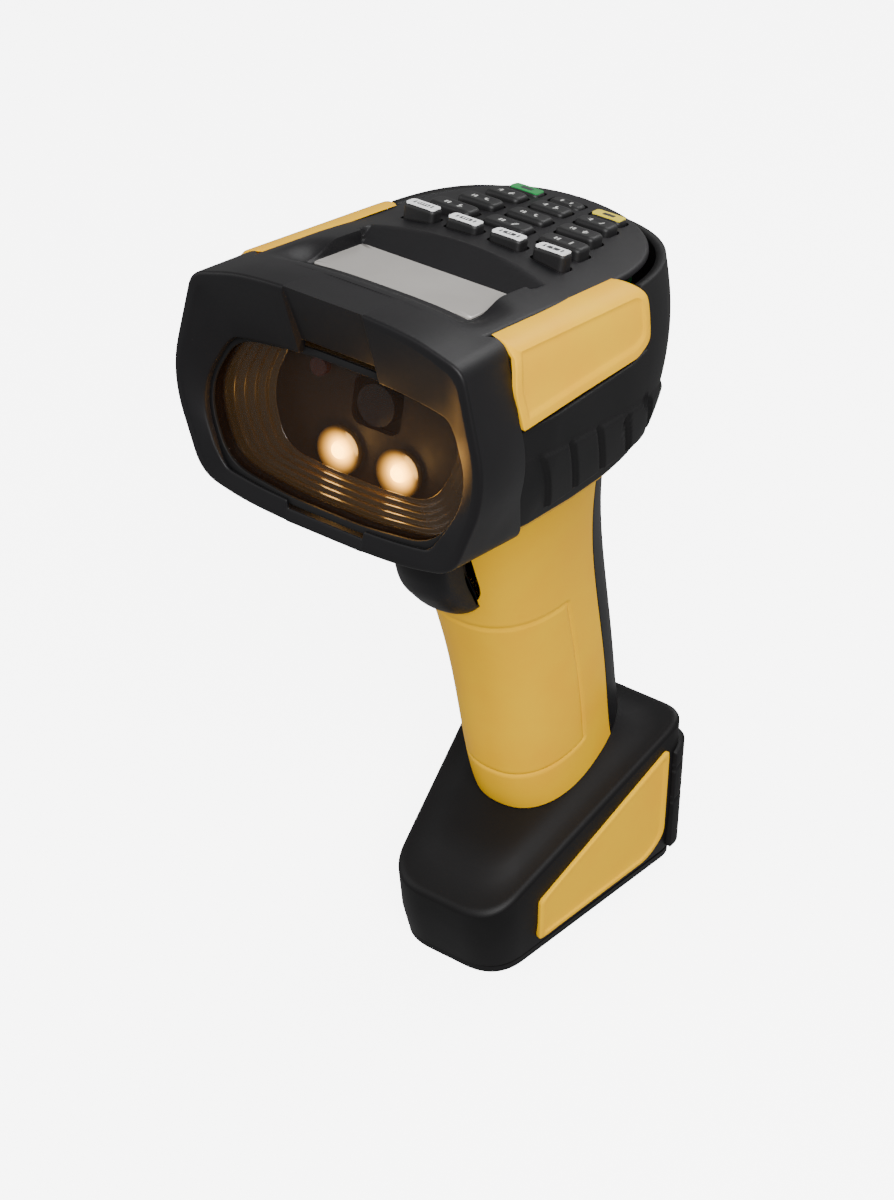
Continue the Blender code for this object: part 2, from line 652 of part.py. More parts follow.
def foot_shell():
    """Black upper casing of the battery foot, open below."""
    rings = []
    for share, inset in ((0.0, 0.6), (0.35, 0.0), (0.93, 0.2), (1.0, 1.2)):
        outline = foot_outline(FOOT_NOSE + 2.5 * (1 - share), FOOT_TAIL, inset)
        base = FOOT_TRAY_TOP + GAP
        top = foot_top(99.0, outline[:, 1])
        rings.append(np.column_stack([outline, base + (top - base) * share]))
    centre = np.array([0.0, 78.0])
    for share in (0.75, 0.45, 0.15):
        outline = centre + (rings[3][:, :2] - centre) * share
        crown = foot_top(outline[:, 0], outline[:, 1])
        sunk = 0.28 * FOOT_CROWN if share == 0.75 else 0.0  # eases the rim into the crown
        rings.append(np.column_stack([outline, crown - sunk]))
    rings = np.array(rings)
    count, size = rings.shape[:2]
    faces = grid_faces(count, size, True)
    faces.append(tuple((count - 1) * size + i for i in range(size)))
    mesh = mesh_from("foot_shell", rings.reshape(-1, 3), faces)
    outward(mesh)
    foot = place("foot_shell", mesh, BLACK_RUBBER, FOOT)
    solid = foot.modifiers.new("wall", "SOLIDIFY")
    solid.thickness = 2.2 * MM
    solid.offset = -1
    cut(foot, box("contact_cut", (13, 17, 30), (0, 84, 40), None, FOOT))
    for side, sign in (("left", 1), ("right", -1)):
        cut(foot, panel_solid(f"{side}_panel_cut", sign, 0.4, 3.0, None))
    return foot


def panel_solid(name, sign, margin, depth, material):
    """A plate along the foot's tapered side; its top edge runs under the foot's rim."""
    front, rear = 55.0 - margin, 101.0 + margin
    corners = ((front, 6.5 - margin, 1.0), (front, 19.4 + margin, 1.0),
               (rear, 39.8 + margin, 1.0), (rear, 11.0 - margin, 3.0), (95.0, 6.2 - margin, 3.0))
    outline = rounded(corners, 2)
    slope = (28.0 - 15.4) / (FOOT_TAIL - FOOT_NOSE)
    outer = 15.4 + slope * (outline[:, 0] - FOOT_NOSE)
    raised = 0.8 if material else 2.0
    rings = [np.column_stack([sign * (outer + offset), outline]) for offset in (raised, raised - depth)]
    return loft(name, rings, material, FOOT)


def foot_bumper():
    """Rubber band round the foot's tail."""
    rings = []
    corner = 7  # points in each corner of the outline
    for share in np.linspace(0, 1, 5):
        tail = foot_outline(FOOT_NOSE, FOOT_TAIL + 0.3, -2.0)[corner:3 * corner]
        start = tail[0] - (0.25, 1.6)
        tail = np.vstack([start, tail, start * (-1, 1)])
        top = foot_top(99.0, tail[:, 1]) - 3.0
        rings.append(np.column_stack([tail, 4.6 + (top - 4.6) * share]))
    return shell("foot_bumper", np.array(rings), 1.5, BLACK_RUBBER, FOOT)


def foot_inside():
    """Bottom tray, battery block, contacts, and the screw that locks the foot to the handle."""
    outline = foot_outline(FOOT_NOSE + 3.0, FOOT_TAIL, 0.8)
    rings = [np.column_stack([outline, np.full(len(outline), z)])
             for z in (0.0, FOOT_TRAY_TOP)]
    tray = loft("foot_tray", rings, BLACK_PLASTIC, FOOT)
    screw_place = (0.0, 72.0, 0.6)
    cut(tray, cylinder("lock_screw_cut", 4.6, 20, screw_place, None, FOOT))
    cut(bpy.data.objects["foot_shell"],
        cylinder("lock_shank_cut", 2.4, 40, (0, 72, 36), None, FOOT))
    profile = ((0, 42.0), (1.8, 42.0), (1.8, 2.4), (4.0, 2.2), (4.0, 0.0), (0, 0.0))
    turned("lock_screw", profile, screw_place, STEEL, FOOT, steps=20)
    box("battery_block", (30, 29, 17), (0, 91, FOOT_TRAY_TOP + GAP + 8.5), CELL_BLUE, FOOT, 2.0)
    box("contact_block", (11, 15, 22), (0, 84, 36.5), BLACK_PLASTIC, FOOT, 0.6)
    for number, x in enumerate((-3.6, -1.2, 1.2, 3.6), 1):
        box(f"battery_contact_{number}", (1.2, 5.0, 1.0), (x, 84, 48.4), CONTACT_GOLD, FOOT)
    for side, x in (("left", 9.0), ("right", -9.0)):
        cut(tray, box(f"charge_pocket_cut_{side}", (6.8, 8.8, 3.0), (x, 96, 0), None, FOOT))
        box(f"charge_contact_{side}", (6.0, 8.0, 0.7), (x, 96, 0.75), CONTACT_GOLD, FOOT)


front_hood()
window_pieces()
keypad_deck()
key_caps()
display()
electronics()
scan_engine()
head_tub()
rubber_bumper()
side_panels()
handle_shells()
trigger_pieces()
foot_shell()
panel_solid("foot_panel_left", 1, 0.0, 1.4, YELLOW_PLASTIC)
panel_solid("foot_panel_right", -1, 0.0, 1.4, YELLOW_PLASTIC)
foot_bumper()
foot_inside()
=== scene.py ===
import math

import bmesh
import bpy
import numpy as np
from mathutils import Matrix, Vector


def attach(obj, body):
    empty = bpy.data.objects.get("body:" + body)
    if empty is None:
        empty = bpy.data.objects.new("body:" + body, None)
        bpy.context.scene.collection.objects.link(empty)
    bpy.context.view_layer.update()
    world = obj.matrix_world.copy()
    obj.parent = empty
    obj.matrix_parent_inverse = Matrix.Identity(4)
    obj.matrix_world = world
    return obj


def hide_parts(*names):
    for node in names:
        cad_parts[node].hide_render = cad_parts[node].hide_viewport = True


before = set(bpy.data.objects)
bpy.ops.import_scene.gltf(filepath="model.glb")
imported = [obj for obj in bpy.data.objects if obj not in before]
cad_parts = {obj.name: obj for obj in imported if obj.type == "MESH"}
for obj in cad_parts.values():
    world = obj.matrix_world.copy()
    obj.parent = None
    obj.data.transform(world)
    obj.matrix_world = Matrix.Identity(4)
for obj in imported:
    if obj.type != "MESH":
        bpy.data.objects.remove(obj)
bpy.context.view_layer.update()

# ---- Front hood -------------------------------------------------------------------------
# The flared nose round the scan window: one injection moulding in charcoal ABS, textured in
# the tool by spark erosion. A shallow channel runs in through its ceiling and its floor.
MM = 0.001
PITCH = math.radians(13)  # the nose points up
HEAD_ORIGIN = (0.0, -54.65, 210.0)


def from_head(points):
    """Row-frame place of points in the head's own frame: x sideways, u rearward, v up."""
    x, u, v = np.moveaxis(np.asarray(points, float), -1, 0)
    y = HEAD_ORIGIN[1] + u * math.cos(PITCH) + v * math.sin(PITCH)
    z = HEAD_ORIGIN[2] - u * math.sin(PITCH) + v * math.cos(PITCH)
    return np.stack([x, y, z], -1)


def softened(corners, setbacks, steps=4):
    """Round a closed chain of corners: each one becomes a quadratic Bezier curve that starts
    and ends one setback away from it on the lines to its two neighbours."""
    here = np.asarray(corners, float)
    setback = np.asarray(setbacks, float).reshape((-1,) + (1,) * (here.ndim - 1))

    def towards(neighbour):
        line = neighbour - here
        length = np.maximum(np.linalg.norm(line, axis=-1, keepdims=True), 1e-9)
        return here + line * np.minimum(setback / length, 0.48)

    start, end = towards(np.roll(here, 1, 0)), towards(np.roll(here, -1, 0))
    t = np.linspace(0, 1, steps + 1).reshape((1, -1) + (1,) * (here.ndim - 1))
    curve = (1 - t) ** 2 * start[:, None] + 2 * t * (1 - t) * here[:, None] + t ** 2 * end[:, None]
    return curve.reshape((-1,) + here.shape[1:])


def mirrored_outline(half, steps=8):
    """Closed outline from the corners (across, up, setback) of its right half and their
    mirror image."""
    corners = np.array(list(half) + [(-x, v, s) for x, v, s in reversed(half)], float)
    return softened(corners[:, :2], corners[:, 2], steps)


def surface_normals(grid):
    """Unit normals of a grid of points, the cross product of its two tangents, turned to
    point away from the grid's middle."""
    normal = np.cross(np.gradient(grid, axis=1), np.gradient(grid, axis=0))
    normal /= np.maximum(np.linalg.norm(normal, axis=-1, keepdims=True), 1e-9)
    return normal, np.sign((normal * (grid - grid.mean((0, 1)))).sum())


def grid_mesh(name, grid, closed=False, looped=False, capped=False, sharp=40):
    """Quads through a grid of points in millimetres, rows by columns. closed joins the last
    column to the first, looped the last row to the first, and capped fills both end rows. An
    open surface faces away from its own middle."""
    open_surface = not (closed or looped)
    if open_surface and surface_normals(grid)[1] < 0:
        grid = grid[:, ::-1]
    rows, columns = grid.shape[:2]
    index = np.arange(rows * columns).reshape(rows, columns)
    faces = []
    if capped:
        faces = [index[0, ::-1].tolist(), index[-1].tolist()]
    if closed:
        index = np.hstack([index, index[:, :1]])
    if looped:
        index = np.vstack([index, index[:1]])
    quads = np.stack([index[:-1, :-1], index[:-1, 1:], index[1:, 1:], index[1:, :-1]], -1)
    mesh = bpy.data.meshes.new(name)
    mesh.from_pydata((grid.reshape(-1, 3) * MM).tolist(), [], faces + quads.reshape(-1, 4).tolist())
    work = bmesh.new()
    work.from_mesh(mesh)
    bmesh.ops.remove_doubles(work, verts=work.verts, dist=2e-6)
    bmesh.ops.dissolve_degenerate(work, edges=work.edges, dist=1e-6)
    if not open_surface:
        bmesh.ops.recalc_face_normals(work, faces=work.faces)
    work.to_mesh(mesh)
    work.free()
    mesh.shade_smooth()
    mesh.set_sharp_from_angle(angle=math.radians(sharp))
    return mesh


def put(name, mesh, material, body, slot, *nodes):
    """A piece of the given mesh and finish that moves with a body and stands for CAD nodes."""
    piece = bpy.data.objects.new(name, mesh)
    bpy.context.scene.collection.objects.link(piece)
    mesh.materials.clear()
    mesh.materials.append(material)
    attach(piece, body)
    if nodes:
        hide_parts(*nodes)
    return piece


def linear(colour):
    """Linear RGBA of an sRGB hex colour."""
    s = np.array([int(colour[i:i + 2], 16) for i in (1, 3, 5)]) / 255
    return (*np.where(s <= 0.04045, s / 12.92, ((s + 0.055) / 1.055) ** 2.4).tolist(), 1.0)


def add_node(material, kind, settings=None, links=None):
    """One node, with its settings (inputs or properties) and the sockets linked into it."""
    node = material.node_tree.nodes.new(kind)
    for name, value in (settings or {}).items():
        if name in node.inputs:
            node.inputs[name].default_value = value
        else:
            setattr(node, name, value)
    for name, socket in (links or {}).items():
        material.node_tree.links.new(socket, node.inputs[name])
    return node


def moulded(name, colour, worn, roughness, grain, depth, **sockets):
    """Moulded surface: tool grain (spacing and depth in mm) as bump, and the slow change of
    shade and gloss that handling leaves."""
    material = bpy.data.materials.new(name)
    material.use_nodes = True
    shader = material.node_tree.nodes["Principled BSDF"]
    link = material.node_tree.links.new
    place = add_node(material, "ShaderNodeTexCoord").outputs["Object"]
    texture = add_node(material, "ShaderNodeTexNoise", {"Scale": 1 / (grain * MM), "Detail": 2.0},
                       {"Vector": place})
    bump = add_node(material, "ShaderNodeBump", {"Strength": 1.0, "Distance": depth * MM},
                    {"Height": texture.outputs["Fac"]})
    handling = add_node(material, "ShaderNodeTexNoise", {"Scale": 1 / (16 * MM), "Detail": 4.0},
                        {"Vector": place})
    amount = add_node(material, "ShaderNodeMapRange", {"From Min": 0.35, "From Max": 0.7},
                      {"Value": handling.outputs["Fac"]})
    shade = add_node(material, "ShaderNodeMixRGB", {"Color1": linear(colour), "Color2": linear(worn)},
                     {"Fac": amount.outputs["Result"]})
    gloss = add_node(material, "ShaderNodeMapRange",
                     {"To Min": roughness + 0.05, "To Max": roughness - 0.05},
                     {"Value": handling.outputs["Fac"]})
    link(bump.outputs["Normal"], shader.inputs["Normal"])
    link(shade.outputs["Color"], shader.inputs["Base Color"])
    link(gloss.outputs["Result"], shader.inputs["Roughness"])
    for socket, value in sockets.items():
        shader.inputs[socket.replace("_", " ")].default_value = value
    return material


# Textured ABS: matte charcoal with a soft sheen at grazing angles; grain spacing about 0.3 mm.
BLACK_ABS = moulded("black_abs_spark_textured", "#0e0d0f", "#121113", 0.48, 0.32, 0.012, IOR=1.53,
                    Specular_IOR_Level=0.24)

CROWN_POWER = 3.2  # the top is nearly flat in the middle and falls away towards its corners
CHANNEL_HALF = 9.3  # half width of the channel in the funnel's ceiling and floor
FLOOR_CHANNEL = 0.6  # the floor's channel is shallower, by this share
HOOD_RIM = ((31.7, -2.6, 3), (38.0, -27.0, 9), (30.9, -48.0, 5))
HOOD_LIP = ((30.1, -4.4, 3), (36.1, -27.0, 9), (29.6, -46.5, 5))
HOOD_REAR = ((31.2, -1.9, 3), (37.3, -26.0, 9), (31.2, -48.6, 5))
HOOD_INNER = ((28.2, -4.9, 3), (34.3, -26.0, 9), (28.2, -47.0, 5))
HOOD_RETURN = ((28.2, -4.9, 3), (34.3, -26.0, 9), (28.2, -41.0, 5))
OPENING = ((26.5, -16.6, 5), (32.5, -30.0, 9), (25.5, -44.4, 6))
OPENING_MIDDLE = (-14.4, -46.4)
WINDOW_FRONT = 8.6


def hood_ring(side, middle, channel, u_of_v):
    """A ring of the hood from its side corners, the heights of its top and bottom middle, and
    how far the channel steps out of it there. u_of_v sets it back by its height."""
    def arc(x, middle_v, corner):
        return middle_v + (corner[1] - middle_v) * (x / corner[0]) ** CROWN_POWER

    top, bottom = middle
    near, far = CHANNEL_HALF - 0.2, CHANNEL_HALF + 0.2
    over = [(x, arc(x, top, side[0]), 3.0) for x in (16.0, 22.0)]
    under = [(x, arc(x, bottom, side[2]), 3.0) for x in (22.0, 16.0)]
    ceiling = ((near, arc(near, top, side[0]) + channel, 0.3), (far, arc(far, top, side[0]), 0.3))
    floor = ((far, arc(far, bottom, side[2]), 0.3),
             (near, arc(near, bottom, side[2]) - FLOOR_CHANNEL * channel, 0.3))
    half = (*ceiling, *over, *side, *under, *floor)
    outline = mirrored_outline(half)
    return np.stack([outline[:, 0], u_of_v(outline[:, 1]), outline[:, 1]], -1)


def rim_u(v):
    """The rim leans: its lower edge stands further back."""
    return 0.55 - 0.185 * v


def hood_rear_u(v):
    """The hood's rear edge is straight across the top and sweeps back down the sides."""
    shoulder, low = (np.clip((-v - start) / run, 0, 1) for start, run in ((0.5, 0.6), (32, 18)))
    shoulder, low = (t * t * (3 - 2 * t) for t in (shoulder, low))
    sweep = 14.0 * np.sqrt(np.clip(-v - 7, 0, 41) / 41) + 7.0 * low
    return 12.5 + np.maximum(5.0 * shoulder, sweep)


hood_rings = softened([
    hood_ring(HOOD_REAR, (1.6, -50.6), 0.0, hood_rear_u),
    hood_ring(HOOD_RIM, (1.7, -51.2), 0.0, rim_u),
    hood_ring(HOOD_LIP, (0.2, -49.7), 1.5, rim_u),
    hood_ring(OPENING, OPENING_MIDDLE, 3.0, lambda v: np.maximum(WINDOW_FRONT, rim_u(v) + 0.6)),
    hood_ring(OPENING, OPENING_MIDDLE, 3.0, lambda v: np.maximum(WINDOW_FRONT + 1.6, rim_u(v) + 1.2)),
    hood_ring(HOOD_INNER, (-1.4, -49.0), 0.0, lambda v: WINDOW_FRONT + 1.6 + 0 * v),
    hood_ring(HOOD_RETURN, (-1.4, -42.6), 0.0, hood_rear_u),
], (0.06, 0.9, 0.5, 0.6, 0.2, 0.2, 0.3))
put("hood_shell", grid_mesh("hood_shell", from_head(hood_rings), closed=True, looped=True),
    BLACK_ABS, "housing", "black_plastic", "front_hood")

# ---- Scan window, its gasket and the light frame behind it -------------------------------
# A clear polycarbonate plate, hard coated, in a rubber gasket. Behind it a moulded amber
# frame with stepped ridges spreads the light of the two illumination LEDs.
CLEAR_PC = bpy.data.materials.new("hard_coated_clear_polycarbonate")
CLEAR_PC.use_nodes = True
clear = CLEAR_PC.node_tree.nodes["Principled BSDF"]
# Tinted by the coating and mostly seen through; its gloss is what the eye catches.
for socket, value in (("Base Color", linear("#2a1706")), ("Roughness", 0.04), ("IOR", 1.58),
                      ("Alpha", 0.22)):
    clear.inputs[socket].default_value = value
smear = add_node(CLEAR_PC, "ShaderNodeTexNoise", {"Scale": 1 / (9 * MM), "Detail": 3.0},
                 {"Vector": add_node(CLEAR_PC, "ShaderNodeTexCoord").outputs["Object"]})
smear_gloss = add_node(CLEAR_PC, "ShaderNodeMapRange", {"To Min": 0.02, "To Max": 0.12},
                       {"Value": smear.outputs["Fac"]})
CLEAR_PC.node_tree.links.new(smear_gloss.outputs["Result"], clear.inputs["Roughness"])


def plate_grid(corners, profile, fill=6, steps=6, dense=1):
    """Rings of a pad over an outline of corners (a, b, setback): for each (inset, height) of
    the profile every corner moves in along its mitre and is rounded again; both ends then
    shrink towards the outline's middle. dense puts more points on the straight runs."""
    corners = np.asarray(corners, float)
    place, setback = corners[:, :2], corners[:, 2]
    ahead = np.roll(place, -1, 0) - place
    ahead /= np.linalg.norm(ahead, axis=-1, keepdims=True)
    turn = np.sign(np.cross(np.roll(ahead, 1, 0), ahead).sum())
    side = turn * np.stack([-ahead[:, 1], ahead[:, 0]], -1)
    mitre = (side + np.roll(side, 1, 0)) / (1 + (side * np.roll(side, 1, 0)).sum(-1, keepdims=True))

    def ring(inset, height):
        outline = softened(place + mitre * inset, setback, steps)
        share = np.linspace(0, 1, dense, endpoint=False)[:, None]
        onward = np.roll(outline, -1, 0)
        outline = (outline[:, None] * (1 - share) + onward[:, None] * share).reshape(-1, 2)
        return np.column_stack([outline, np.full(len(outline), height)])

    rings = [ring(inset, height) for inset, height in profile]
    middle = (rings[0][:, :2].max(0) + rings[0][:, :2].min(0)) / 2

    def closing(ring):
        level = np.array([*middle, ring[0, 2]])
        return [level + (ring - level) * share for share in np.linspace(0.02, 1, fill, endpoint=False)]

    return np.array(closing(rings[0]) + rings + closing(rings[-1])[::-1])


def across_head(rings):
    """Rings drawn in (x, v, depth rearward) set across the head."""
    return from_head(np.stack([rings[..., 0], rings[..., 2], rings[..., 1]], -1))


def opening_corners(grow):
    """Corners of the right half of the window opening, grown outwards by an amount."""
    return ((8.8, OPENING_MIDDLE[0] + grow, 4.0),
            *[(x + grow, v + grow * way, setback) for (x, v, setback), way in zip(OPENING, (1, 0, -1))],
            (8.8, OPENING_MIDDLE[1] - grow, 4.0))


def opening_outline(grow):
    """The window opening's whole outline, grown outwards by an amount."""
    return mirrored_outline(opening_corners(grow), 8)


window_half = list(opening_corners(1.0))
window_corners = window_half + [(-x, v, setback) for x, v, setback in reversed(window_half)]
window = plate_grid(window_corners, ((0.0, 13.6), (0.0, 12.0), (0.35, 11.6)))
put("window_plate", grid_mesh("window_plate", across_head(window), closed=True, capped=True),
    CLEAR_PC, "housing", "clear_window", "scan_window")

# Thermoplastic rubber: darker than the ABS, no shine, a finer and deeper grain.
RUBBER = moulded("overmoulded_black_rubber", "#0b0b0c", "#100f10", 0.6, 0.24, 0.014, IOR=1.52,
                  Specular_IOR_Level=0.25)


def ring_between(outer, inner, front, rear):
    """A flat ring across the head, softened at its four edges."""
    section = ((outer, front), (outer, rear), (inner, rear), (inner, front))
    rings = [np.column_stack([outline, np.full(len(outline), depth)]) for outline, depth in section]
    return across_head(softened(rings, (0.2, 0.2, 0.2, 0.2), 3))


put("gasket_ring", grid_mesh("gasket_ring", ring_between(
    opening_outline(1.0), opening_outline(-0.5), 10.5, 11.3), closed=True, looped=True),
    RUBBER, "housing", "black_rubber", "window_gasket")

FRAME_INNER = ((6.0, -15.6, 3), (19.0, -17.0, 4), (23.0, -29.0, 6), (18.0, -40.5, 5), (6.0, -41.5, 3))
FRAME_DEPTHS = (14.2, 20.0)
TERRACES = 5
frame_inner = mirrored_outline(FRAME_INNER, 8)
frame_outer = opening_outline(-0.4)
rise = np.repeat(np.arange(TERRACES + 1) / TERRACES, 2)  # each terrace steps back, then in
inward, rearward = rise[:-1], rise[1:]


def frame_ring(outline, depth):
    """An outline of the light frame at one depth."""
    return np.column_stack([outline, np.full(len(outline), depth)])


FRAME_BACK = FRAME_DEPTHS[1] + 0.3
terrace = [frame_ring(frame_outer + (frame_inner - frame_outer) * a,
                      FRAME_DEPTHS[0] + (FRAME_DEPTHS[1] - FRAME_DEPTHS[0]) * d)
           for a, d in zip(inward, rearward)]
terrace += [frame_ring(frame_inner, FRAME_BACK), frame_ring(frame_outer, FRAME_BACK)]
terrace = softened(terrace, [0.35] * len(terrace), 2)
# Transparent amber polycarbonate: lit from within, so it glows a little in its depth.
AMBER_PC = moulded("amber_polycarbonate", "#2c2110", "#3a2c14", 0.2, 3.0, 0.008, IOR=1.58)
amber = AMBER_PC.node_tree.nodes["Principled BSDF"]
amber.inputs["Emission Color"].default_value = linear("#d9a050")
amber.inputs["Emission Strength"].default_value = 0.02
put("light_ridges", grid_mesh("light_ridges", across_head(terrace), closed=True, looped=True, sharp=30),
    AMBER_PC, "housing", "amber_reflector", "light_frame")

# ---- Keypad deck -------------------------------------------------------------------------
# The crowned top cover, in the same textured ABS as the hood and flush with it. The display
# lies in a recess with a sloped rear wall; the keys stand in holes cut clean through.
DECK_FRONT, DECK_REAR, DECK_HALF = 12.5, 96.4, 27.3
DECK_THICK = 3.6
DECK_EDGE = 0.9  # radius of its rounded edge
DECK_DIP = 2.7  # how far it falls in front of the display
ROUND_FROM = 60.0  # where the head's plan starts to round off
DISPLAY = dict(half=18.9, front=23.1, rear=40.8, floor=-2.3, slope_end=50.0)
KEY_ROWS = (
    dict(u=57.5, top=3.6, columns=(-15.8, -5.3, 5.3, 15.8), width=7.8, depth=4.0),
    dict(u=66.0, top=2.7, columns=(-13.5, 0.0, 13.5), width=10.4, depth=5.2),
    dict(u=74.3, top=2.7, columns=(-12.2, 0.0, 12.2), width=9.4, depth=5.2),
    dict(u=83.0, top=2.5, columns=(-11.2, 0.0, 11.2), width=8.6, depth=5.2),
    dict(u=89.8, top=2.0, columns=(-10.3, 0.0, 10.3), width=7.8, depth=4.0),
)
KEYS = [(x, row["u"], row["width"], row["depth"], row["top"])
        for row in KEY_ROWS for x in row["columns"]]
KEY_HOLE_GAP = 0.35


def eased(value, start, end):
    """Smooth step from 0 at start to 1 at end: 3t squared minus 2t cubed."""
    t = np.clip((value - start) / (end - start), 0, 1)
    return t * t * (3 - 2 * t)


def deck_half_width(u):
    """Straight beside the panels, then a superellipse quarter to the rear."""
    reach = np.clip((u - ROUND_FROM) / (96.5 - ROUND_FROM), 0, 1)
    return DECK_HALF * (1 - reach ** 2.8) ** (1 / 2.8)


def deck_height(x, u):
    """Crowned across: flat-topped beside the hood, becoming a parabola under the keys."""
    power = CROWN_POWER - (CROWN_POWER - 2.0) * eased(u, 34, 56)
    return 1.6 - 4.2 * np.abs(x / 31.7) ** power


def deck_surface(across, u):
    """The crowned deck with its rounded edge, dipped in front of the display, less the
    display's recess: a flat floor, then a ramp up to the keys."""
    half = deck_half_width(u)
    x = across * half
    v = deck_height(x, u)
    slope = np.gradient(deck_half_width(u[:, 0]), u[:, 0])[:, None]
    from_edge = (half - np.abs(x)) / np.sqrt(1 + slope ** 2)
    inside = np.clip(DECK_EDGE - from_edge, 0, DECK_EDGE)
    v = v - (DECK_EDGE - np.sqrt(DECK_EDGE ** 2 - inside ** 2)) * eased(u, 12, 16)
    d = DISPLAY
    dip = eased(u, 13.5, 22.0) * (1 - eased(u, 24.0, 33.0)) * (1 - eased(np.abs(x), 19.0, 25.0))
    v = v - DECK_DIP * dip
    climb = (1.6 - d["floor"]) / (d["slope_end"] - d["rear"])
    floor = d["floor"] + np.clip(u - d["rear"], 0, None) * climb
    widening = 1.5 * eased(u, d["rear"], d["rear"] + 2)
    share = (1 - eased(np.abs(x), d["half"] + widening, d["half"] + widening + 0.8))
    share = share * eased(u, d["front"] - 0.7, d["front"])
    v = v + np.minimum(floor - v, 0) * share
    return np.stack([x, u, v], -1)


def spaced(*stops):
    """Grid lines through stops given as (position, spacing up to it)."""
    lines = [np.array([stops[0][0]])]
    for (start, _), (end, spacing) in zip(stops, stops[1:]):
        lines.append(np.linspace(start, end, max(2, round((end - start) / spacing) + 1))[1:])
    return np.concatenate(lines)


half_lines = spaced((0, 1), (18.4, 1.15), (21.6, 0.16), (26.0, 0.9), (27.3, 0.16)) / DECK_HALF
across = np.concatenate([-half_lines[:0:-1], half_lines])
round_end = np.sin(np.linspace(0, math.pi / 2, 34))[1:] * (DECK_REAR - ROUND_FROM) + ROUND_FROM
along = np.concatenate([spaced((DECK_FRONT, 1), (22.1, 1.2), (23.4, 0.12), (40.2, 1.2), (41.4, 0.2),
                               (49.4, 0.9), (50.6, 0.2), (ROUND_FROM, 1.0)), round_end])
deck_grid = deck_surface(*np.meshgrid(across, along))


def applied(piece):
    """The piece's mesh with its modifiers made real, so nothing is left to work out."""
    depsgraph = bpy.context.evaluated_depsgraph_get()
    mesh = bpy.data.meshes.new_from_object(piece.evaluated_get(depsgraph))
    piece.modifiers.clear()
    piece.data = mesh
    return piece


def walled(piece, wall):
    """Solidify towards the inside."""
    solid = piece.modifiers.new("wall", "SOLIDIFY")
    solid.thickness, solid.offset = wall * MM, -1
    return piece


def holed(piece, prisms, sharp=35):
    """Cut a list of prisms, each one a grid of rings, out of a piece."""
    work = bmesh.new()
    for rings in prisms:
        work.from_mesh(grid_mesh("cutter", rings, closed=True, capped=True))
    mesh = bpy.data.meshes.new("cutters")
    work.to_mesh(mesh)
    work.free()
    cutter = bpy.data.objects.new("cutters", mesh)
    bpy.context.scene.collection.objects.link(cutter)
    removal = piece.modifiers.new("holes", "BOOLEAN")
    removal.operation, removal.solver, removal.object = "DIFFERENCE", "EXACT", cutter
    applied(piece)
    bpy.data.objects.remove(cutter)
    piece.data.shade_smooth()
    piece.data.set_sharp_from_angle(angle=math.radians(sharp))
    return piece


def square(x, u, width, depth, setback):
    """The corners of a rectangle round a middle, each with its setback."""
    a, b = width / 2, depth / 2
    return [(x + i * a, u + j * b, setback) for i, j in ((1, 1), (1, -1), (-1, -1), (-1, 1))]


def rounded_square(*size):
    """Outline of a rectangle with rounded corners round a middle."""
    corners = np.array(square(*size))
    return softened(corners[:, :2], corners[:, 2], 6)


def prism(outline, levels):
    """An outline carried straight through the given heights, in the head's frame."""
    return from_head([np.column_stack([outline, np.full(len(outline), level)]) for level in levels])


deck = put("deck_cover", grid_mesh("deck_cover", from_head(deck_grid)),
           BLACK_ABS, "housing", "black_plastic", "keypad_deck")
walled(deck, DECK_THICK)
key_holes = [rounded_square(x, u, width + 2 * KEY_HOLE_GAP, depth + 2 * KEY_HOLE_GAP, 1.3)
             for x, u, width, depth, top in KEYS]
holed(deck, [prism(outline, (-9, 6)) for outline in key_holes])

# ---- Keys --------------------------------------------------------------------------------
# Sixteen silicone caps with printed legends: four white function keys, a telephone block of
# numbers, and a green and a yellow key at its foot. Each one moves on its own.
KEY_FLOOR = -3.9
BLACK_SILICONE = moulded("black_silicone_keycap", "#111112", "#181718", 0.5, 0.3, 0.008, IOR=1.43)
WHITE_SILICONE = moulded("white_coated_keycap", "#ffffff", "#f6f6f6", 0.38, 0.4, 0.004, IOR=1.46)
GREEN_SILICONE = moulded("green_coated_keycap", "#1f9a4c", "#1a8742", 0.38, 0.4, 0.004, IOR=1.46)
YELLOW_SILICONE = moulded("yellow_coated_keycap", "#e9d436", "#dcc62c", 0.38, 0.4, 0.004, IOR=1.46)
# Screen-printed epoxy ink: a thin film with a slight edge, a little glossier than the cap.
PALE_INK = moulded("pale_printed_ink", "#c9c9c6", "#b9b9b6", 0.4, 0.5, 0.002)
DARK_INK = moulded("dark_printed_ink", "#26262a", "#303034", 0.4, 0.5, 0.002)
KEY_EDGE = 0.9
CAP_DISH = 0.18


def key_cap(x, u, width, depth, top):
    """Rounded rectangle carried up, a quarter-round edge, and a slightly dished top."""
    turn = np.radians(np.linspace(0, 90, 6))
    profile = [(0.0, KEY_FLOOR), (0.0, top - KEY_EDGE - 0.01)]
    profile += [(KEY_EDGE * (1 - math.cos(a)) * 0.8, top - KEY_EDGE + KEY_EDGE * math.sin(a)) for a in turn]
    rings = plate_grid(square(x, u, width, depth, 1.5), profile, 4)
    rings[-3:, :, 2] -= np.array([0.35, 0.75, 1.0])[:, None] * CAP_DISH
    return from_head(rings)


def printed(name, number, outlines, material, slot, top):
    """Flat printed shapes on a key: closed outlines given a film's thickness."""
    work = bmesh.new()
    for outline in outlines:
        film = prism(outline, (top - 0.3, top + 0.03))
        work.from_mesh(grid_mesh("film", film, closed=True, capped=True))
    mesh = bpy.data.meshes.new(name)
    work.to_mesh(mesh)
    work.free()
    return put(name, mesh, material, f"key_{number:02d}", slot)


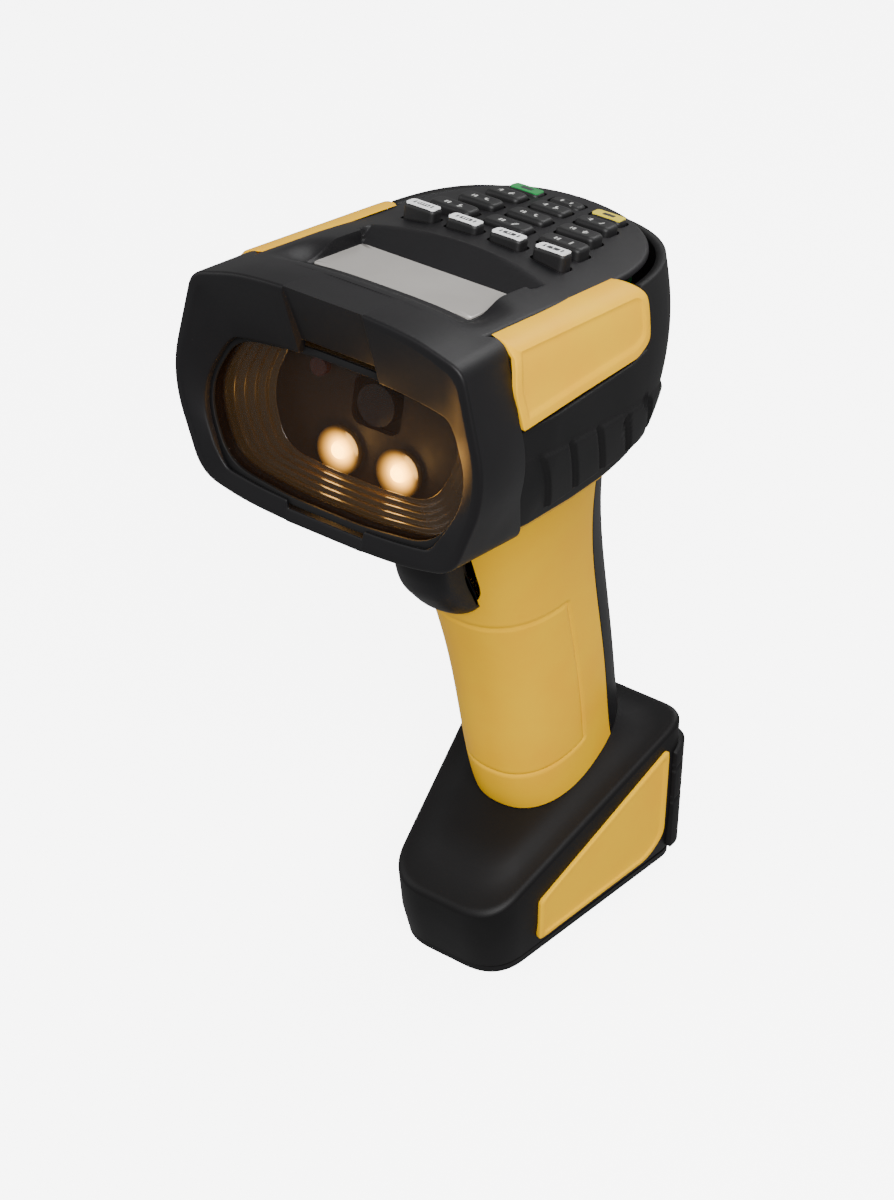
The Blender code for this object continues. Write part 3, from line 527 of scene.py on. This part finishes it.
def numeral(name, number, character, x, u, height, material, slot, top):
    """A numeral read from behind the scanner, made a solid film on the cap."""
    curve = bpy.data.curves.new(name, "FONT")
    curve.body, curve.size, curve.extrude = character, height * 1.45, 0.03
    curve.align_x = curve.align_y = "CENTER"
    curve.resolution_u = 4
    letters = bpy.data.objects.new(name, curve)
    bpy.context.scene.collection.objects.link(letters)
    depsgraph = bpy.context.evaluated_depsgraph_get()
    mesh = bpy.data.meshes.new_from_object(letters.evaluated_get(depsgraph))
    bpy.data.objects.remove(letters)
    flat = np.empty(len(mesh.vertices) * 3)
    mesh.vertices.foreach_get("co", flat)
    a, b, c = flat.reshape(-1, 3).T
    place = from_head(np.stack([x - a, u - b, top - 0.02 + c], -1)) * MM
    mesh.vertices.foreach_set("co", place.ravel())
    mesh.update()
    return put(name, mesh, material, f"key_{number:02d}", slot)


FUNCTION_KEYS = 4
TOP_COLOURS = {14: (GREEN_SILICONE, "green_key"), 16: (YELLOW_SILICONE, "yellow_key"),
               **{n: (WHITE_SILICONE, "white_key") for n in range(1, FUNCTION_KEYS + 1)}}
for number, (x, u, width, depth, top) in enumerate(KEYS, 1):
    name = f"key_{number:02d}"
    cap = grid_mesh(name + "_cap", key_cap(x, u, width, depth, top), closed=True, capped=True)
    put(name + "_cap", cap, BLACK_SILICONE, name, "black_rubber", name)
    if number in TOP_COLOURS:
        material, slot = TOP_COLOURS[number]
        coat = rounded_square(x, u, width - 0.7, depth - 0.6, 1.0)
        printed(name + "_top", number, [coat], material, slot, top)
        bars = [rounded_square(x, u, 2.8, 1.3, 0.3)]
        if number <= FUNCTION_KEYS:
            bars += [rounded_square(x + sign * 2.1, u, 0.4, 1.3, 0.15) for sign in (-1, 1)]
        printed(name + "_legend", number, bars, DARK_INK, "black_plastic", top + 0.04)
        if number <= FUNCTION_KEYS:
            count = FUNCTION_KEYS + 1 - number
            ticks = [rounded_square(x + (i - (count - 1) / 2) * 0.62, u, 0.3, 0.75, 0.1)
                     for i in range(count)]
            printed(name + "_ticks", number, ticks, WHITE_SILICONE, "white_key", top + 0.08)
    else:
        order = number - FUNCTION_KEYS - 1
        digit = "0" if number == 15 else str(order - order % 3 + 3 - order % 3)
        numeral(name + "_legend", number, digit, x + 1.6, u, 2.9, PALE_INK, "white_key", top - 0.08)
        dashes = [rounded_square(x - 1.4 - 0.75 * i, u, 0.45, 1.3, 0.1) for i in range(3)]
        printed(name + "_dashes", number, dashes, PALE_INK, "white_key", top - 0.08)

# ---- Display -----------------------------------------------------------------------------
# A grey monochrome liquid-crystal display under a flat lens; the lens's printed dark border is not drawn.
LCD = moulded("liquid_crystal_grey", "#a09c97", "#a8a49f", 0.22, 0.9, 0.0005, IOR=1.5, Coat_Weight=0.6)
lens = plate_grid(square(0.0, 31.95, 37.2, 17.1, 0.9), ((0.0, -3.2), (0.0, -1.95), (0.15, -1.8)))
put("display_plate", grid_mesh("display_plate", from_head(lens), closed=True, capped=True),
    LCD, "housing", "display_glass", "display_lens")

# ---- Side panels -------------------------------------------------------------------------
# Yellow ABS panels snapped into the head's sides: a raised border round a lower field.
YELLOW_ABS = moulded("yellow_abs_fine_textured", "#ffc400", "#fdba00", 0.4, 0.5, 0.004, IOR=1.5,
                     Specular_IOR_Level=0.1)
SIDE_WIDEST = 36.0
PANEL_TOP = -1.1
PANEL_CORNERS = ((17.7, PANEL_TOP, 0.5), (34.0, PANEL_TOP, 2.0), (50.0, PANEL_TOP, 2.0),
                 (65.6, PANEL_TOP, 1.6), (69.0, -3.6, 2.0), (70.6, -13.4, 2.0),
                 (64.6, -15.8, 1.5), (42.0, -17.3, 3.0),
                 (20.8, -19.0, 0.6), (18.7, -13.4, 2.0), (17.8, -10.8, 1.5))
PANEL_PROFILE = ((0.2, -1.2), (0.0, -1.0), (0.0, -0.2), (0.2, 0.0), (0.6, 0.03), (1.1, 0.05),
                 (1.6, 0.05), (2.2, 0.05), (2.7, -0.35), (3.2, -0.4))


def side_half_width(v):
    """Half width of the head's side at a height: a parabola, widest above the middle."""
    return SIDE_WIDEST - 4.8 * ((v + 25.0) / 22.6) ** 2


def head_side(u, v, offset):
    """How far out the head's side is: its half width, with a superellipse plan from where it
    rounds off, a bulge under its top, and a quarter ellipse over onto the deck."""
    reach = np.clip((u - ROUND_FROM) / 40.0, 0, 1)
    turn = np.clip((v + 4.0) / 2.9, 0, 1)
    shoulder = 4.4 * (1 - np.sqrt(1 - turn ** 2))
    bulge = 1.2 * (1 - eased(-v, 2, 14))
    return (side_half_width(v) + bulge - shoulder + offset) * (1 - reach ** 2.8) ** (1 / 2.8)


for side, sign in (("left", 1), ("right", -1)):
    rings = plate_grid(PANEL_CORNERS, PANEL_PROFILE, 10, 4, 3)
    u, v, offset = np.moveaxis(rings, -1, 0)
    grid = from_head(np.stack([sign * head_side(u, v, offset), u, v], -1))
    put(f"{side}_side_panel", grid_mesh(f"{side}_side_panel", grid, closed=True, capped=True),
        YELLOW_ABS, "housing", "yellow_plastic", f"{side}_panel")

# ---- Rubber bumper -----------------------------------------------------------------------
# Thermoplastic rubber moulded round the head's sides and rear, with slanted pads under each
# side panel and a tall collar behind the keys that takes the knocks.
BUMPER_WALL = 2.2
BUMPER_FOOT = ((20, 50, 62, 80, 89, 96), (-44.6, -43.6, -42.0, -38.7, -32.0, -29.0))  # u, v
RIB_TOP = -26.0
RIB_PITCH = 10.75


def head_plan(front, count_side, count_rear):
    """Unit half width and distance along the head, from the +X side round to the -X side."""
    angle = np.linspace(0, math.pi, count_rear)
    side = np.linspace(front, ROUND_FROM, count_side, endpoint=False)
    x = np.sign(np.cos(angle)) * np.abs(np.cos(angle)) ** (2 / 2.8)
    u = ROUND_FROM + 40.0 * np.abs(np.sin(angle)) ** (2 / 2.8)
    return (np.concatenate([np.ones(count_side), x, -np.ones(count_side)]),
            np.concatenate([side, u, side[::-1]]))


def rear_reach(v):
    """How far back the head goes at a height: the rear face leans in towards the handle."""
    return 100.0 - 9.0 * np.clip((-v - 8) / 36, 0, 1) ** 1.5


def pushed(grid, amount):
    """Move a grid's points outwards along the surface's normals."""
    normal, facing = surface_normals(grid)
    return grid + facing * normal * np.asarray(amount)[..., None]


plan_x, plan_u = head_plan(20.0, 90, 220)
level = np.linspace(0, 1, 64)[:, None]
lower = np.interp(plan_u, *BUMPER_FOOT)
upper = np.interp(plan_u, (20, 24, 63, 69.5, 72.5, 100), (-20.0, -19.7, -16.4, -14.8, -2.4, -0.9))
bumper_v = lower + (upper - lower) * level
collar = np.clip((bumper_v + 14) / 12, 0, 1) * np.exp(-np.clip(plan_u - 70, 0, None) / 6)
under_hood = 1.3 * (1 - eased(plan_u, 21.5, 34))  # its front end tucks in behind the hood
depth_share = (rear_reach(bumper_v) - ROUND_FROM) / 40.0
bumper_u = np.where(plan_u < ROUND_FROM, plan_u, ROUND_FROM + (plan_u - ROUND_FROM) * depth_share)
bumper_grid = np.stack([plan_x * side_half_width(bumper_v),
                        bumper_u - 6.0 * collar * (plan_u > 69), bumper_v], -1)
drop = np.clip((RIB_TOP - bumper_v) / (16 - 5 * np.clip((bumper_u - 38) / 40, 0, 1)), -1, 1.2)
rib = (bumper_u - 28 - 10 * drop) / (RIB_PITCH - 0.75 * drop)
along_rib = np.abs(rib - np.floor(rib) - 0.5)
pad = (1 - eased(along_rib, 0.38, 0.49)) * eased(drop, 0.0, 0.08) * (1 - eased(drop, 0.9, 1.0))
pad = pad * eased(rib, 0.0, 0.1) * (1 - eased(rib, 4.9, 5.0))
fall = 0.5 * eased(drop, 0.0, 0.08) * (1 - pad)
bumper_skin = from_head(pushed(bumper_grid, 0.7 * pad - 0.5 * fall - under_hood))
bumper = put("side_bumper", grid_mesh("side_bumper", bumper_skin),
             RUBBER, "housing", "black_rubber", "rubber_bumper")
walled(bumper, BUMPER_WALL)

# ---- Head tub ----------------------------------------------------------------------------
# The yellow ABS lower casing that carries the engine and boards. Only a ledge under the
# bumper and the belly round the handle show.
BELLY_V = -45.6
belly_x, belly_u = head_plan(31.0, 40, 120)
ledge = np.interp(belly_u, *BUMPER_FOOT)
# Each row: how far below the bumper's lower edge, how far in from the head's side, and what
# share of the way down to the flat belly.
BELLY_ROWS = np.array([(-3.0, 3.0, 0.0), (0.1, 3.0, 0.0), (0.1, 1.2, 0.0), (0.3, 0.8, 0.0), (1.5, 0.8, 0.0),
                       (1.8, 1.1, 0.0), (2.1, 2.6, 0.0), (2.4, 3.4, 0.3), (2.4, 4.6, 0.65), (2.4, 6.0, 0.9),
                       (2.4, 7.6, 1.0)])
below, inset, share = (column[:, None] for column in BELLY_ROWS.T)
belly_v = np.minimum(ledge - below, ledge - below + (BELLY_V - ledge + below) * share)
reach_in = (rear_reach(belly_v) - inset - ROUND_FROM) / 40.0
belly = np.stack([belly_x * (side_half_width(belly_v) - inset),
                  np.where(belly_u < ROUND_FROM, belly_u + 0 * belly_v,
                           ROUND_FROM + (belly_u - ROUND_FROM) * reach_in), belly_v], -1)
last_x, last_u, last_v = belly[-1].T
closing = [np.stack([last_x * s, last_u * s + 60 * (1 - s), last_v], -1) for s in (0.8, 0.5, 0.2, 0.01)]
belly_skin = from_head(np.concatenate([belly, closing]))
put("head_belly", grid_mesh("head_belly", belly_skin, closed=True, capped=True),
    YELLOW_ABS, "housing", "yellow_plastic", "head_tub")

# ---- Scan engine and lights --------------------------------------------------------------
# Behind the window: the illumination board with two lit LEDs, the imager's lens and the
# aimer. Each LED is a small dome over a warm-white emitter, standing in a shallow cup.
LED_WARM = bpy.data.materials.new("warm_white_led_dome")
LED_WARM.use_nodes = True
led = LED_WARM.node_tree.nodes["Principled BSDF"]
led.inputs["Base Color"].default_value = linear("#1c1206")
led.inputs["Roughness"].default_value = 0.2
led.inputs["Emission Color"].default_value = linear("#ffb347")
LED_X, LED_V, LED_BACK = 7.3, -38.8, 24.2
# The light falls off from the die at the dome's middle to the rim of the cup round it.
mirrored_place = add_node(LED_WARM, "ShaderNodeVectorMath", {"operation": "ABSOLUTE"},
                          {"Vector": add_node(LED_WARM, "ShaderNodeTexCoord").outputs["Object"]})
from_die = add_node(LED_WARM, "ShaderNodeVectorMath", {"operation": "DISTANCE"})
from_die.inputs[1].default_value = (np.abs(from_head((LED_X, LED_BACK - 1.5, LED_V))) * MM).tolist()
LED_WARM.node_tree.links.new(mirrored_place.outputs["Vector"], from_die.inputs[0])
near_die = add_node(LED_WARM, "ShaderNodeMapRange",
                    {"From Min": 5.8 * MM, "From Max": 1.4 * MM, "To Min": 0.0, "To Max": 1.0},
                    {"Value": from_die.outputs["Value"]})
strength = add_node(LED_WARM, "ShaderNodeMath", {"operation": "POWER"})
strength.inputs[1].default_value = 3.0
LED_WARM.node_tree.links.new(near_die.outputs["Result"], strength.inputs[0])
brightness = add_node(LED_WARM, "ShaderNodeMath", {"operation": "MULTIPLY"})
brightness.inputs[1].default_value = 22.0
LED_WARM.node_tree.links.new(strength.outputs["Value"], brightness.inputs[0])
LED_WARM.node_tree.links.new(brightness.outputs["Value"], led.inputs["Emission Strength"])
ring_angle = np.linspace(0, 2 * math.pi, 32, endpoint=False)
bulb = [(1.9 * math.cos(a), 0.5 + 1.5 * math.sin(a)) for a in np.radians(range(0, 90, 10))]
cup = [(0.05, 0.0), (5.2, 0.0), (5.2, 1.2), (4.9, 1.2), (3.4, 0.5), (2.0, 0.4)]
led_profile = np.array(cup + bulb + [(0.02, 2.0)])  # radius and height off the board
for side, sign in (("right", -1), ("left", 1)):
    radius, height = led_profile[:, :1], led_profile[:, 1:]
    dome = np.stack([sign * LED_X + radius * np.cos(ring_angle), LED_BACK - height + 0 * ring_angle,
                     LED_V + radius * np.sin(ring_angle)], -1)
    put(f"led_dome_{side}", grid_mesh(f"led_dome_{side}", from_head(dome), closed=True, capped=True),
        LED_WARM, "housing", "led_lens", f"led_{side}")
    lamp = bpy.data.lights.new(f"led_lamp_{side}", "POINT")
    lamp.energy, lamp.color, lamp.shadow_soft_size = 0.006, linear("#ffc06a")[:3], 0.002
    holder = bpy.data.objects.new(f"led_lamp_{side}", lamp)
    holder.location = from_head((sign * LED_X, 20.5, LED_V)) * MM
    bpy.context.scene.collection.objects.link(holder)

# The board fills the nose behind the light frame, with a hole for the imager.
BROWN_BOARD = moulded("dark_engine_housing", "#140d07", "#1c1209", 0.45, 0.8, 0.004)
board = plate_grid(square(0.0, -31.0, 57.0, 30.0, 3.0), ((0.0, 25.8), (0.0, 24.4), (0.2, 24.2)))
board_mesh = grid_mesh("illumination_plate", across_head(board), closed=True, capped=True)
board = put("illumination_plate", board_mesh, BROWN_BOARD, "housing", "circuit_board",
            "illumination_board")
imager_hole = rounded_square(0.0, -26.5, 12.0, 11.0, 3.0)
holed(board, [across_head(np.array([np.column_stack([imager_hole, np.full(len(imager_hole), depth)])
                                    for depth in (22.0, 28.0)]))])

# ---- Handle ------------------------------------------------------------------------------
# A yellow ABS front shell wraps round to the black back cover. A thin line outlines the
# grip area, and the shell opens at the top for the trigger.
HANDLE_HEIGHTS = (46, 60, 75, 90, 105, 115, 125, 135, 145, 156)
HANDLE_MIDDLES = (86.0, 83.0, 79.8, 76.9, 73.4, 70.5, 66.8, 64.0, 61.0, 57.5)
HANDLE_HALF_DEPTHS = (21.5, 22.2, 22.4, 22.8, 23.6, 24.6, 25.6, 26.2, 26.6, 27.0)
HANDLE_HALF_WIDTHS = (14.8, 15.2, 15.6, 15.8, 16.0, 16.4, 17.4, 19.0, 21.2, 24.0)
HANDLE_HIGHEST = 157  # above it the sections stay the same
HEAD_BOTTOM = -44.0
handle_fit = [np.polynomial.Polynomial.fit(HANDLE_HEIGHTS, values, 5)
              for values in (HANDLE_MIDDLES, HANDLE_HALF_DEPTHS, HANDLE_HALF_WIDTHS)]


FOOT_EDGE = 99.0  # as far out as this, the foot's top has no crown left


def foot_top(x, y):
    """Height of the foot's sloping top, crowned across by a parabola."""
    return 23.4 + 0.335 * (y - 38.3) + 3.0 * np.clip(1 - (x / 24) ** 2, 0, 1)


def under_head(y):
    """Height of the head's tilted underside above a place along the scanner."""
    drop = (y - HEAD_BOTTOM * math.sin(PITCH)) * math.tan(PITCH)
    return 210.0 + (HEAD_BOTTOM - 0.4) * math.cos(PITCH) - drop


def handle_surface(angle, share):
    """Superellipse sections whose middle, depth and width are smooth in height, stretched
    between the foot's top and the head's underside. A share over 1 runs on up behind it."""
    height = np.minimum(46 + 110 * share, HANDLE_HIGHEST)
    middle, half_depth, half_width = (fit(height) for fit in handle_fit)
    cosine, sine = np.cos(angle), np.sin(angle)
    x = half_width * np.sign(cosine) * np.abs(cosine) ** (2 / 2.3)
    y = middle + half_depth * np.sign(sine) * np.abs(sine) ** (2 / 2.3)
    base = foot_top(x, y) + 0.4
    top = under_head(y)
    return np.stack([x, y, base + (top - base) * share], -1)


def row_frame(points):
    """Working frame (y from the hood's front) to the row frame."""
    return np.asarray(points) + (0, HEAD_ORIGIN[1], 0)


SPLIT = math.radians(17)
SPLIT_GAP = math.radians(0.2)
angle, share = np.meshgrid(np.linspace(-math.pi - SPLIT + SPLIT_GAP, SPLIT - SPLIT_GAP, 181),
                           np.linspace(0, 1, 200))
handle_grid = handle_surface(angle, share)
# The grip area's line: a groove at its top, near the foot, and up each rear side.
GROOVE_TOP, GROOVE_FOOT, GROOVE_SIDE = 0.60, 0.13, math.radians(7)
from_side = np.minimum(np.abs(angle + GROOVE_SIDE), np.abs(angle + math.pi - GROOVE_SIDE))
in_side = (np.abs(angle + math.pi / 2) < math.pi / 2 - GROOVE_SIDE)
side_line = np.exp(-(from_side / 0.020) ** 2) * (share < GROOVE_TOP) * (share > GROOVE_FOOT)
level_line = sum(np.exp(-((share - place) / 0.0042) ** 2) for place in (GROOVE_TOP, GROOVE_FOOT)) * in_side
groove = np.clip(side_line + level_line, 0, 1)
handle = put("handle_grip", grid_mesh("handle_grip", row_frame(pushed(handle_grid, -0.38 * groove))),
             YELLOW_ABS, "housing", "yellow_plastic", "handle_front")
walled(handle, 2.4)
TRIGGER_MOUTH = rounded_square(0.0, 133.6, 15.6, 43.0, 7.4)
mouth = [np.column_stack([TRIGGER_MOUTH[:, 0], np.full(len(TRIGGER_MOUTH), y), TRIGGER_MOUTH[:, 1]])
         for y in (12.0, 56.0)]
holed(handle, [row_frame(np.array(mouth))])

angle, share = np.meshgrid(np.linspace(SPLIT + SPLIT_GAP, math.pi - SPLIT - SPLIT_GAP, 90),
                           np.linspace(0, 1, 110))
back_grid = handle_surface(angle, share * (1 + 0.11 * eased(np.sin(angle), 0.3, 0.75)))
back = put("handle_cover", grid_mesh("handle_cover", row_frame(back_grid)),
           BLACK_ABS, "housing", "black_plastic", "handle_back")
walled(back, 2.4)

# ---- Trigger -----------------------------------------------------------------------------
# A black ABS lever under the nose, hinged at its top and rounded across; the raised edge round its sides is
# not drawn.
TRIGGER_PROFILE = ((31.0, 140.5), (27.2, 135.0), (26.3, 129.5), (28.3, 122.5), (34.0, 115.2),
                   (41.5, 110.2), (47.5, 109.0), (48.6, 112.5), (46.0, 118.0), (43.0, 124.0),
                   (41.5, 131.0), (42.5, 142.5), (38.0, 145.0))
section = np.radians(np.linspace(-90, 90, 19))
TRIGGER_HALF, TRIGGER_ROUND, TRIGGER_SET_BACK = 6.7, 3.8, 2.0
trigger_profile = list(zip(TRIGGER_ROUND * (1 - np.cos(section)), TRIGGER_HALF * np.sin(section)))
# Its front is set back, fading out towards the rear where the switch is.
trigger_corners = [(y + TRIGGER_SET_BACK * (1 - eased(y, 34, 44)), z, 2.4) for y, z in TRIGGER_PROFILE]
rings = plate_grid(trigger_corners, trigger_profile, 5, 5)
trigger_grid = row_frame(np.stack([rings[..., 2], rings[..., 0], rings[..., 1]], -1))
put("trigger_lever", grid_mesh("trigger_lever", trigger_grid, closed=True, capped=True),
    BLACK_ABS, "trigger", "black_plastic", "trigger")

# ---- Battery foot ------------------------------------------------------------------------
# The removable foot that holds the battery: a rubber-coated black shell, yellow panels in
# its flanks, a rubber tail, and a flat tray that the scanner stands on.
FOOT_NOSE, FOOT_TAIL = 38.3, 109.2
FOOT_NOSE_HALF, FOOT_TAIL_HALF = 15.4, 28.0


def foot_outline(inset, nose_back=0.0, steps=14):
    """The foot's plan: a narrow round nose widening to a square tail with round corners."""
    nose, tail = FOOT_NOSE + nose_back + inset, FOOT_TAIL - inset
    a, b = FOOT_NOSE_HALF - inset, FOOT_TAIL_HALF - inset
    outline = softened(((a, nose), (b, tail), (-b, tail), (-a, nose)), (10, 7, 7, 10), steps)
    dense = np.linspace(0, 1, 2, endpoint=False)[:, None]
    onward = np.roll(outline, -1, 0)
    return (outline[:, None] * (1 - dense) + onward[:, None] * dense).reshape(-1, 2)


SOFT_EDGE = 1.6
rings = []
for share, inset in ((0.0, 1.2), (0.015, 0.6), (0.35, 0.0)):
    outline = foot_outline(inset, 2.5 * (1 - share))
    rings.append(np.column_stack([outline, 3.0 + (foot_top(FOOT_EDGE, outline[:, 1]) - 3.0) * share]))
for turn in np.radians(np.linspace(0, 90, 8)):
    outline = foot_outline(0.1 + SOFT_EDGE * (1 - math.cos(turn)))
    level = foot_top(FOOT_EDGE, outline[:, 1])
    rings.append(np.column_stack([outline, level - SOFT_EDGE * (1 - math.sin(turn))]))
rim = rings[-1]
for share in np.linspace(1, 0.01, 14)[1:]:
    outline = np.array([0.0, 78.0]) + (rim[:, :2] - (0.0, 78.0)) * share
    level = foot_top(FOOT_EDGE, outline[:, 1])
    crown = foot_top(outline[:, 0], outline[:, 1]) - level
    rings.append(np.column_stack([outline, level + crown * eased(1 - share, 0, 0.35)]))
SOFT_BLACK = moulded("soft_touch_black_coating", "#0c0b0c", "#111011", 0.50, 0.26, 0.01, IOR=1.5,
                      Specular_IOR_Level=0.22)
put("foot_casing", grid_mesh("foot_casing", row_frame(np.array(rings)), closed=True, capped=True),
    SOFT_BLACK, "battery_foot", "black_rubber", "foot_shell")

FLANK_CORNERS = ((55.0, 6.5, 1.0), (55.0, 19.4, 1.0), (101.0, 39.8, 2.0), (101.0, 11.0, 3.0),
                 (95.0, 6.2, 3.0))
FLANK_PROFILE = ((0.2, -0.6), (0.0, 0.0), (0.0, 0.5), (0.3, 0.8), (1.2, 0.8), (1.6, 0.4), (2.0, 0.35))
FLANK_SLOPE = (FOOT_TAIL_HALF - FOOT_NOSE_HALF) / (FOOT_TAIL - FOOT_NOSE)
for side, sign in (("left", 1), ("right", -1)):
    rings = plate_grid(FLANK_CORNERS, FLANK_PROFILE, 6)
    flank = FOOT_NOSE_HALF + FLANK_SLOPE * (rings[..., 0] - FOOT_NOSE)
    grid = row_frame(np.stack([sign * (flank + rings[..., 2]), rings[..., 0], rings[..., 1]], -1))
    put(f"foot_{side}_plate", grid_mesh(f"foot_{side}_plate", grid, closed=True, capped=True),
        YELLOW_ABS, "battery_foot", "yellow_plastic", f"foot_panel_{side}")

tail, tail_in = foot_outline(-1.1), foot_outline(0.8)
behind = tail[:, 1] > 101.8
order = np.argsort(-np.arctan2(tail[behind, 0], tail[behind, 1] - 70.0))
tail, tail_in = tail[behind][order], tail_in[behind][order]
tail = tail_in + (tail - tail_in) * eased(tail[:, 1], 101.6, 103.4)[:, None]
level = np.linspace(0, 1, 70)[:, None]
tail_top = foot_top(FOOT_EDGE, tail[:, 1]) - 8.5
tail_grid = np.stack([tail[:, 0] + 0 * level, tail[:, 1] + 0 * level, 4.6 + (tail_top - 4.6) * level], -1)
notch = np.exp(-(((level * 3) % 1 - 0.5) / 0.04) ** 2)
notch = notch * eased(level, 0.3, 0.35) * (1 - eased(level, 0.92, 1.0))
notch = notch * (np.abs(tail[:, 0]) > 20)
tail_piece = put("foot_tail", grid_mesh("foot_tail", row_frame(pushed(tail_grid, -0.4 * notch))),
                 RUBBER, "battery_foot", "black_rubber", "foot_bumper")
walled(tail_piece, 3.2)

TRAY_CORNERS = ((14.6, 42.1, 9.5), (27.2, 108.4, 6.5), (-27.2, 108.4, 6.5), (-14.6, 42.1, 9.5))
tray_rings = plate_grid(TRAY_CORNERS, ((0.7, 0.0), (0.0, 0.7), (0.0, 2.6)), 5, 12)


def upright(outline, bottom, top):
    """An outline carried straight up between two heights over the floor."""
    rings = [np.column_stack([outline, np.full(len(outline), z)]) for z in (bottom, top)]
    return np.array([row_frame(ring) for ring in rings])


tray = put("foot_base", grid_mesh("foot_base", row_frame(tray_rings), closed=True, capped=True),
           BLACK_ABS, "battery_foot", "black_plastic", "foot_tray")
screw_hole = rounded_square(0.0, 72.0, 9.2, 9.2, 4.0)
contact_holes = [rounded_square(x, 96.0, 6.8, 8.8, 0.6) for x in (9.0, -9.0)]
holed(tray, [upright(screw_hole, -2.0, 4.0)] + [upright(hole, -2.0, 1.5) for hole in contact_holes])

# ---- Parts inside and small hardware -------------------------------------------------------
# Boards, engine, screws, contacts and the battery keep their shapes and get their finishes.
FR4 = moulded("green_solder_mask_board", "#12512c", "#0f4726", 0.3, 1.6, 0.03, IOR=1.5)
STEEL = moulded("zinc_plated_steel", "#b9bab8", "#a6a8a8", 0.3, 0.2, 0.003, Metallic=1.0)
GOLD = moulded("gold_plated_contact", "#d9ab52", "#c99a44", 0.25, 0.2, 0.002, Metallic=1.0)
CELL = moulded("blue_shrink_wrap", "#23407a", "#1d386e", 0.35, 1.0, 0.02)
RED_OPTIC = moulded("red_coated_optic", "#240605", "#300a07", 0.2, 2.0, 0.001, Coat_Weight=0.8)
DARK_GLASS = moulded("dark_lens_glass", "#0a0808", "#0e0b0b", 0.1, 2.0, 0.001, Coat_Weight=0.6)
RED_OPTIC.node_tree.nodes["Principled BSDF"].inputs["Emission Color"].default_value = linear("#a01408")
RED_OPTIC.node_tree.nodes["Principled BSDF"].inputs["Emission Strength"].default_value = 0.03
KEPT = {
    FR4: ("display_module", "main_board", "radio_board"),
    BROWN_BOARD: ("engine_chassis",),
    BLACK_ABS: ("beeper", "trigger_switch", "contact_block"),
    RUBBER: ("keypad_mat",),
    RED_OPTIC: ("aimer",),
    DARK_GLASS: ("imager_lens",),
    STEEL: ("back_screw_1", "back_screw_2", "trigger_pin", "trigger_spring", "lock_screw"),
    GOLD: (*(f"battery_contact_{i}" for i in range(1, 5)), "charge_contact_left", "charge_contact_right"),
    CELL: ("battery_block",),
}
for material, names in KEPT.items():
    for name in names:
        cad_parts[name].material_slots[0].material = material

# ---- Stage -------------------------------------------------------------------------------
# Plain pale floor, soft lamps and the camera.
FLOOR = bpy.data.materials.new("pale_satin_floor")
FLOOR.use_nodes = True
floor_shader = FLOOR.node_tree.nodes["Principled BSDF"]
for socket, value in (("Base Color", linear("#f4f4f4")), ("Roughness", 0.3), ("IOR", 1.3),
                      ("Emission Color", linear("#ffffff")), ("Emission Strength", 6.0)):
    floor_shader.inputs[socket].default_value = value
floor_mesh = bpy.data.meshes.new("floor")
reach = 6.0
floor_mesh.from_pydata([(-reach, -reach, 0), (reach, -reach, 0), (reach, reach, 0), (-reach, reach, 0)],
                       [], [(0, 1, 2, 3)])
floor_mesh.materials.append(FLOOR)
floor = bpy.data.objects.new("floor", floor_mesh)
bpy.context.scene.collection.objects.link(floor)
floor.visible_diffuse = floor.visible_glossy = False

world = bpy.data.worlds.new("studio")
world.use_nodes = True
world.node_tree.nodes["Background"].inputs["Color"].default_value = linear("#ffffff")
world.node_tree.nodes["Background"].inputs["Strength"].default_value = 0.4
bpy.context.scene.world = world


def aimed(obj, location, target):
    """Place an object and turn it so that it looks at a point."""
    obj.location = location
    obj.rotation_euler = (Vector(target) - Vector(location)).to_track_quat("-Z", "Y").to_euler()
    bpy.context.scene.collection.objects.link(obj)


for name, energy, size, location in (
        ("key_softbox", 12.5, 0.5, (0.45, -0.50, 0.75)),
        ("fill_softbox", 2.2, 0.6, (-0.65, -0.45, 0.45)),
        ("rear_softbox", 3.0, 0.4, (0.1, 0.55, 0.6))):
    lamp = bpy.data.lights.new(name, "AREA")
    lamp.energy, lamp.size = energy, size
    aimed(bpy.data.objects.new(name, lamp), location, (0, 0, 0.12))

camera = bpy.data.cameras.new("camera")
camera.sensor_width, camera.lens = 36.0, 76.1
camera_object = bpy.data.objects.new("camera", camera)
aimed(camera_object, (0.2472, -0.3763, 0.4601), (0, -0.01255, 0.1134))
bpy.context.scene.camera = camera_object
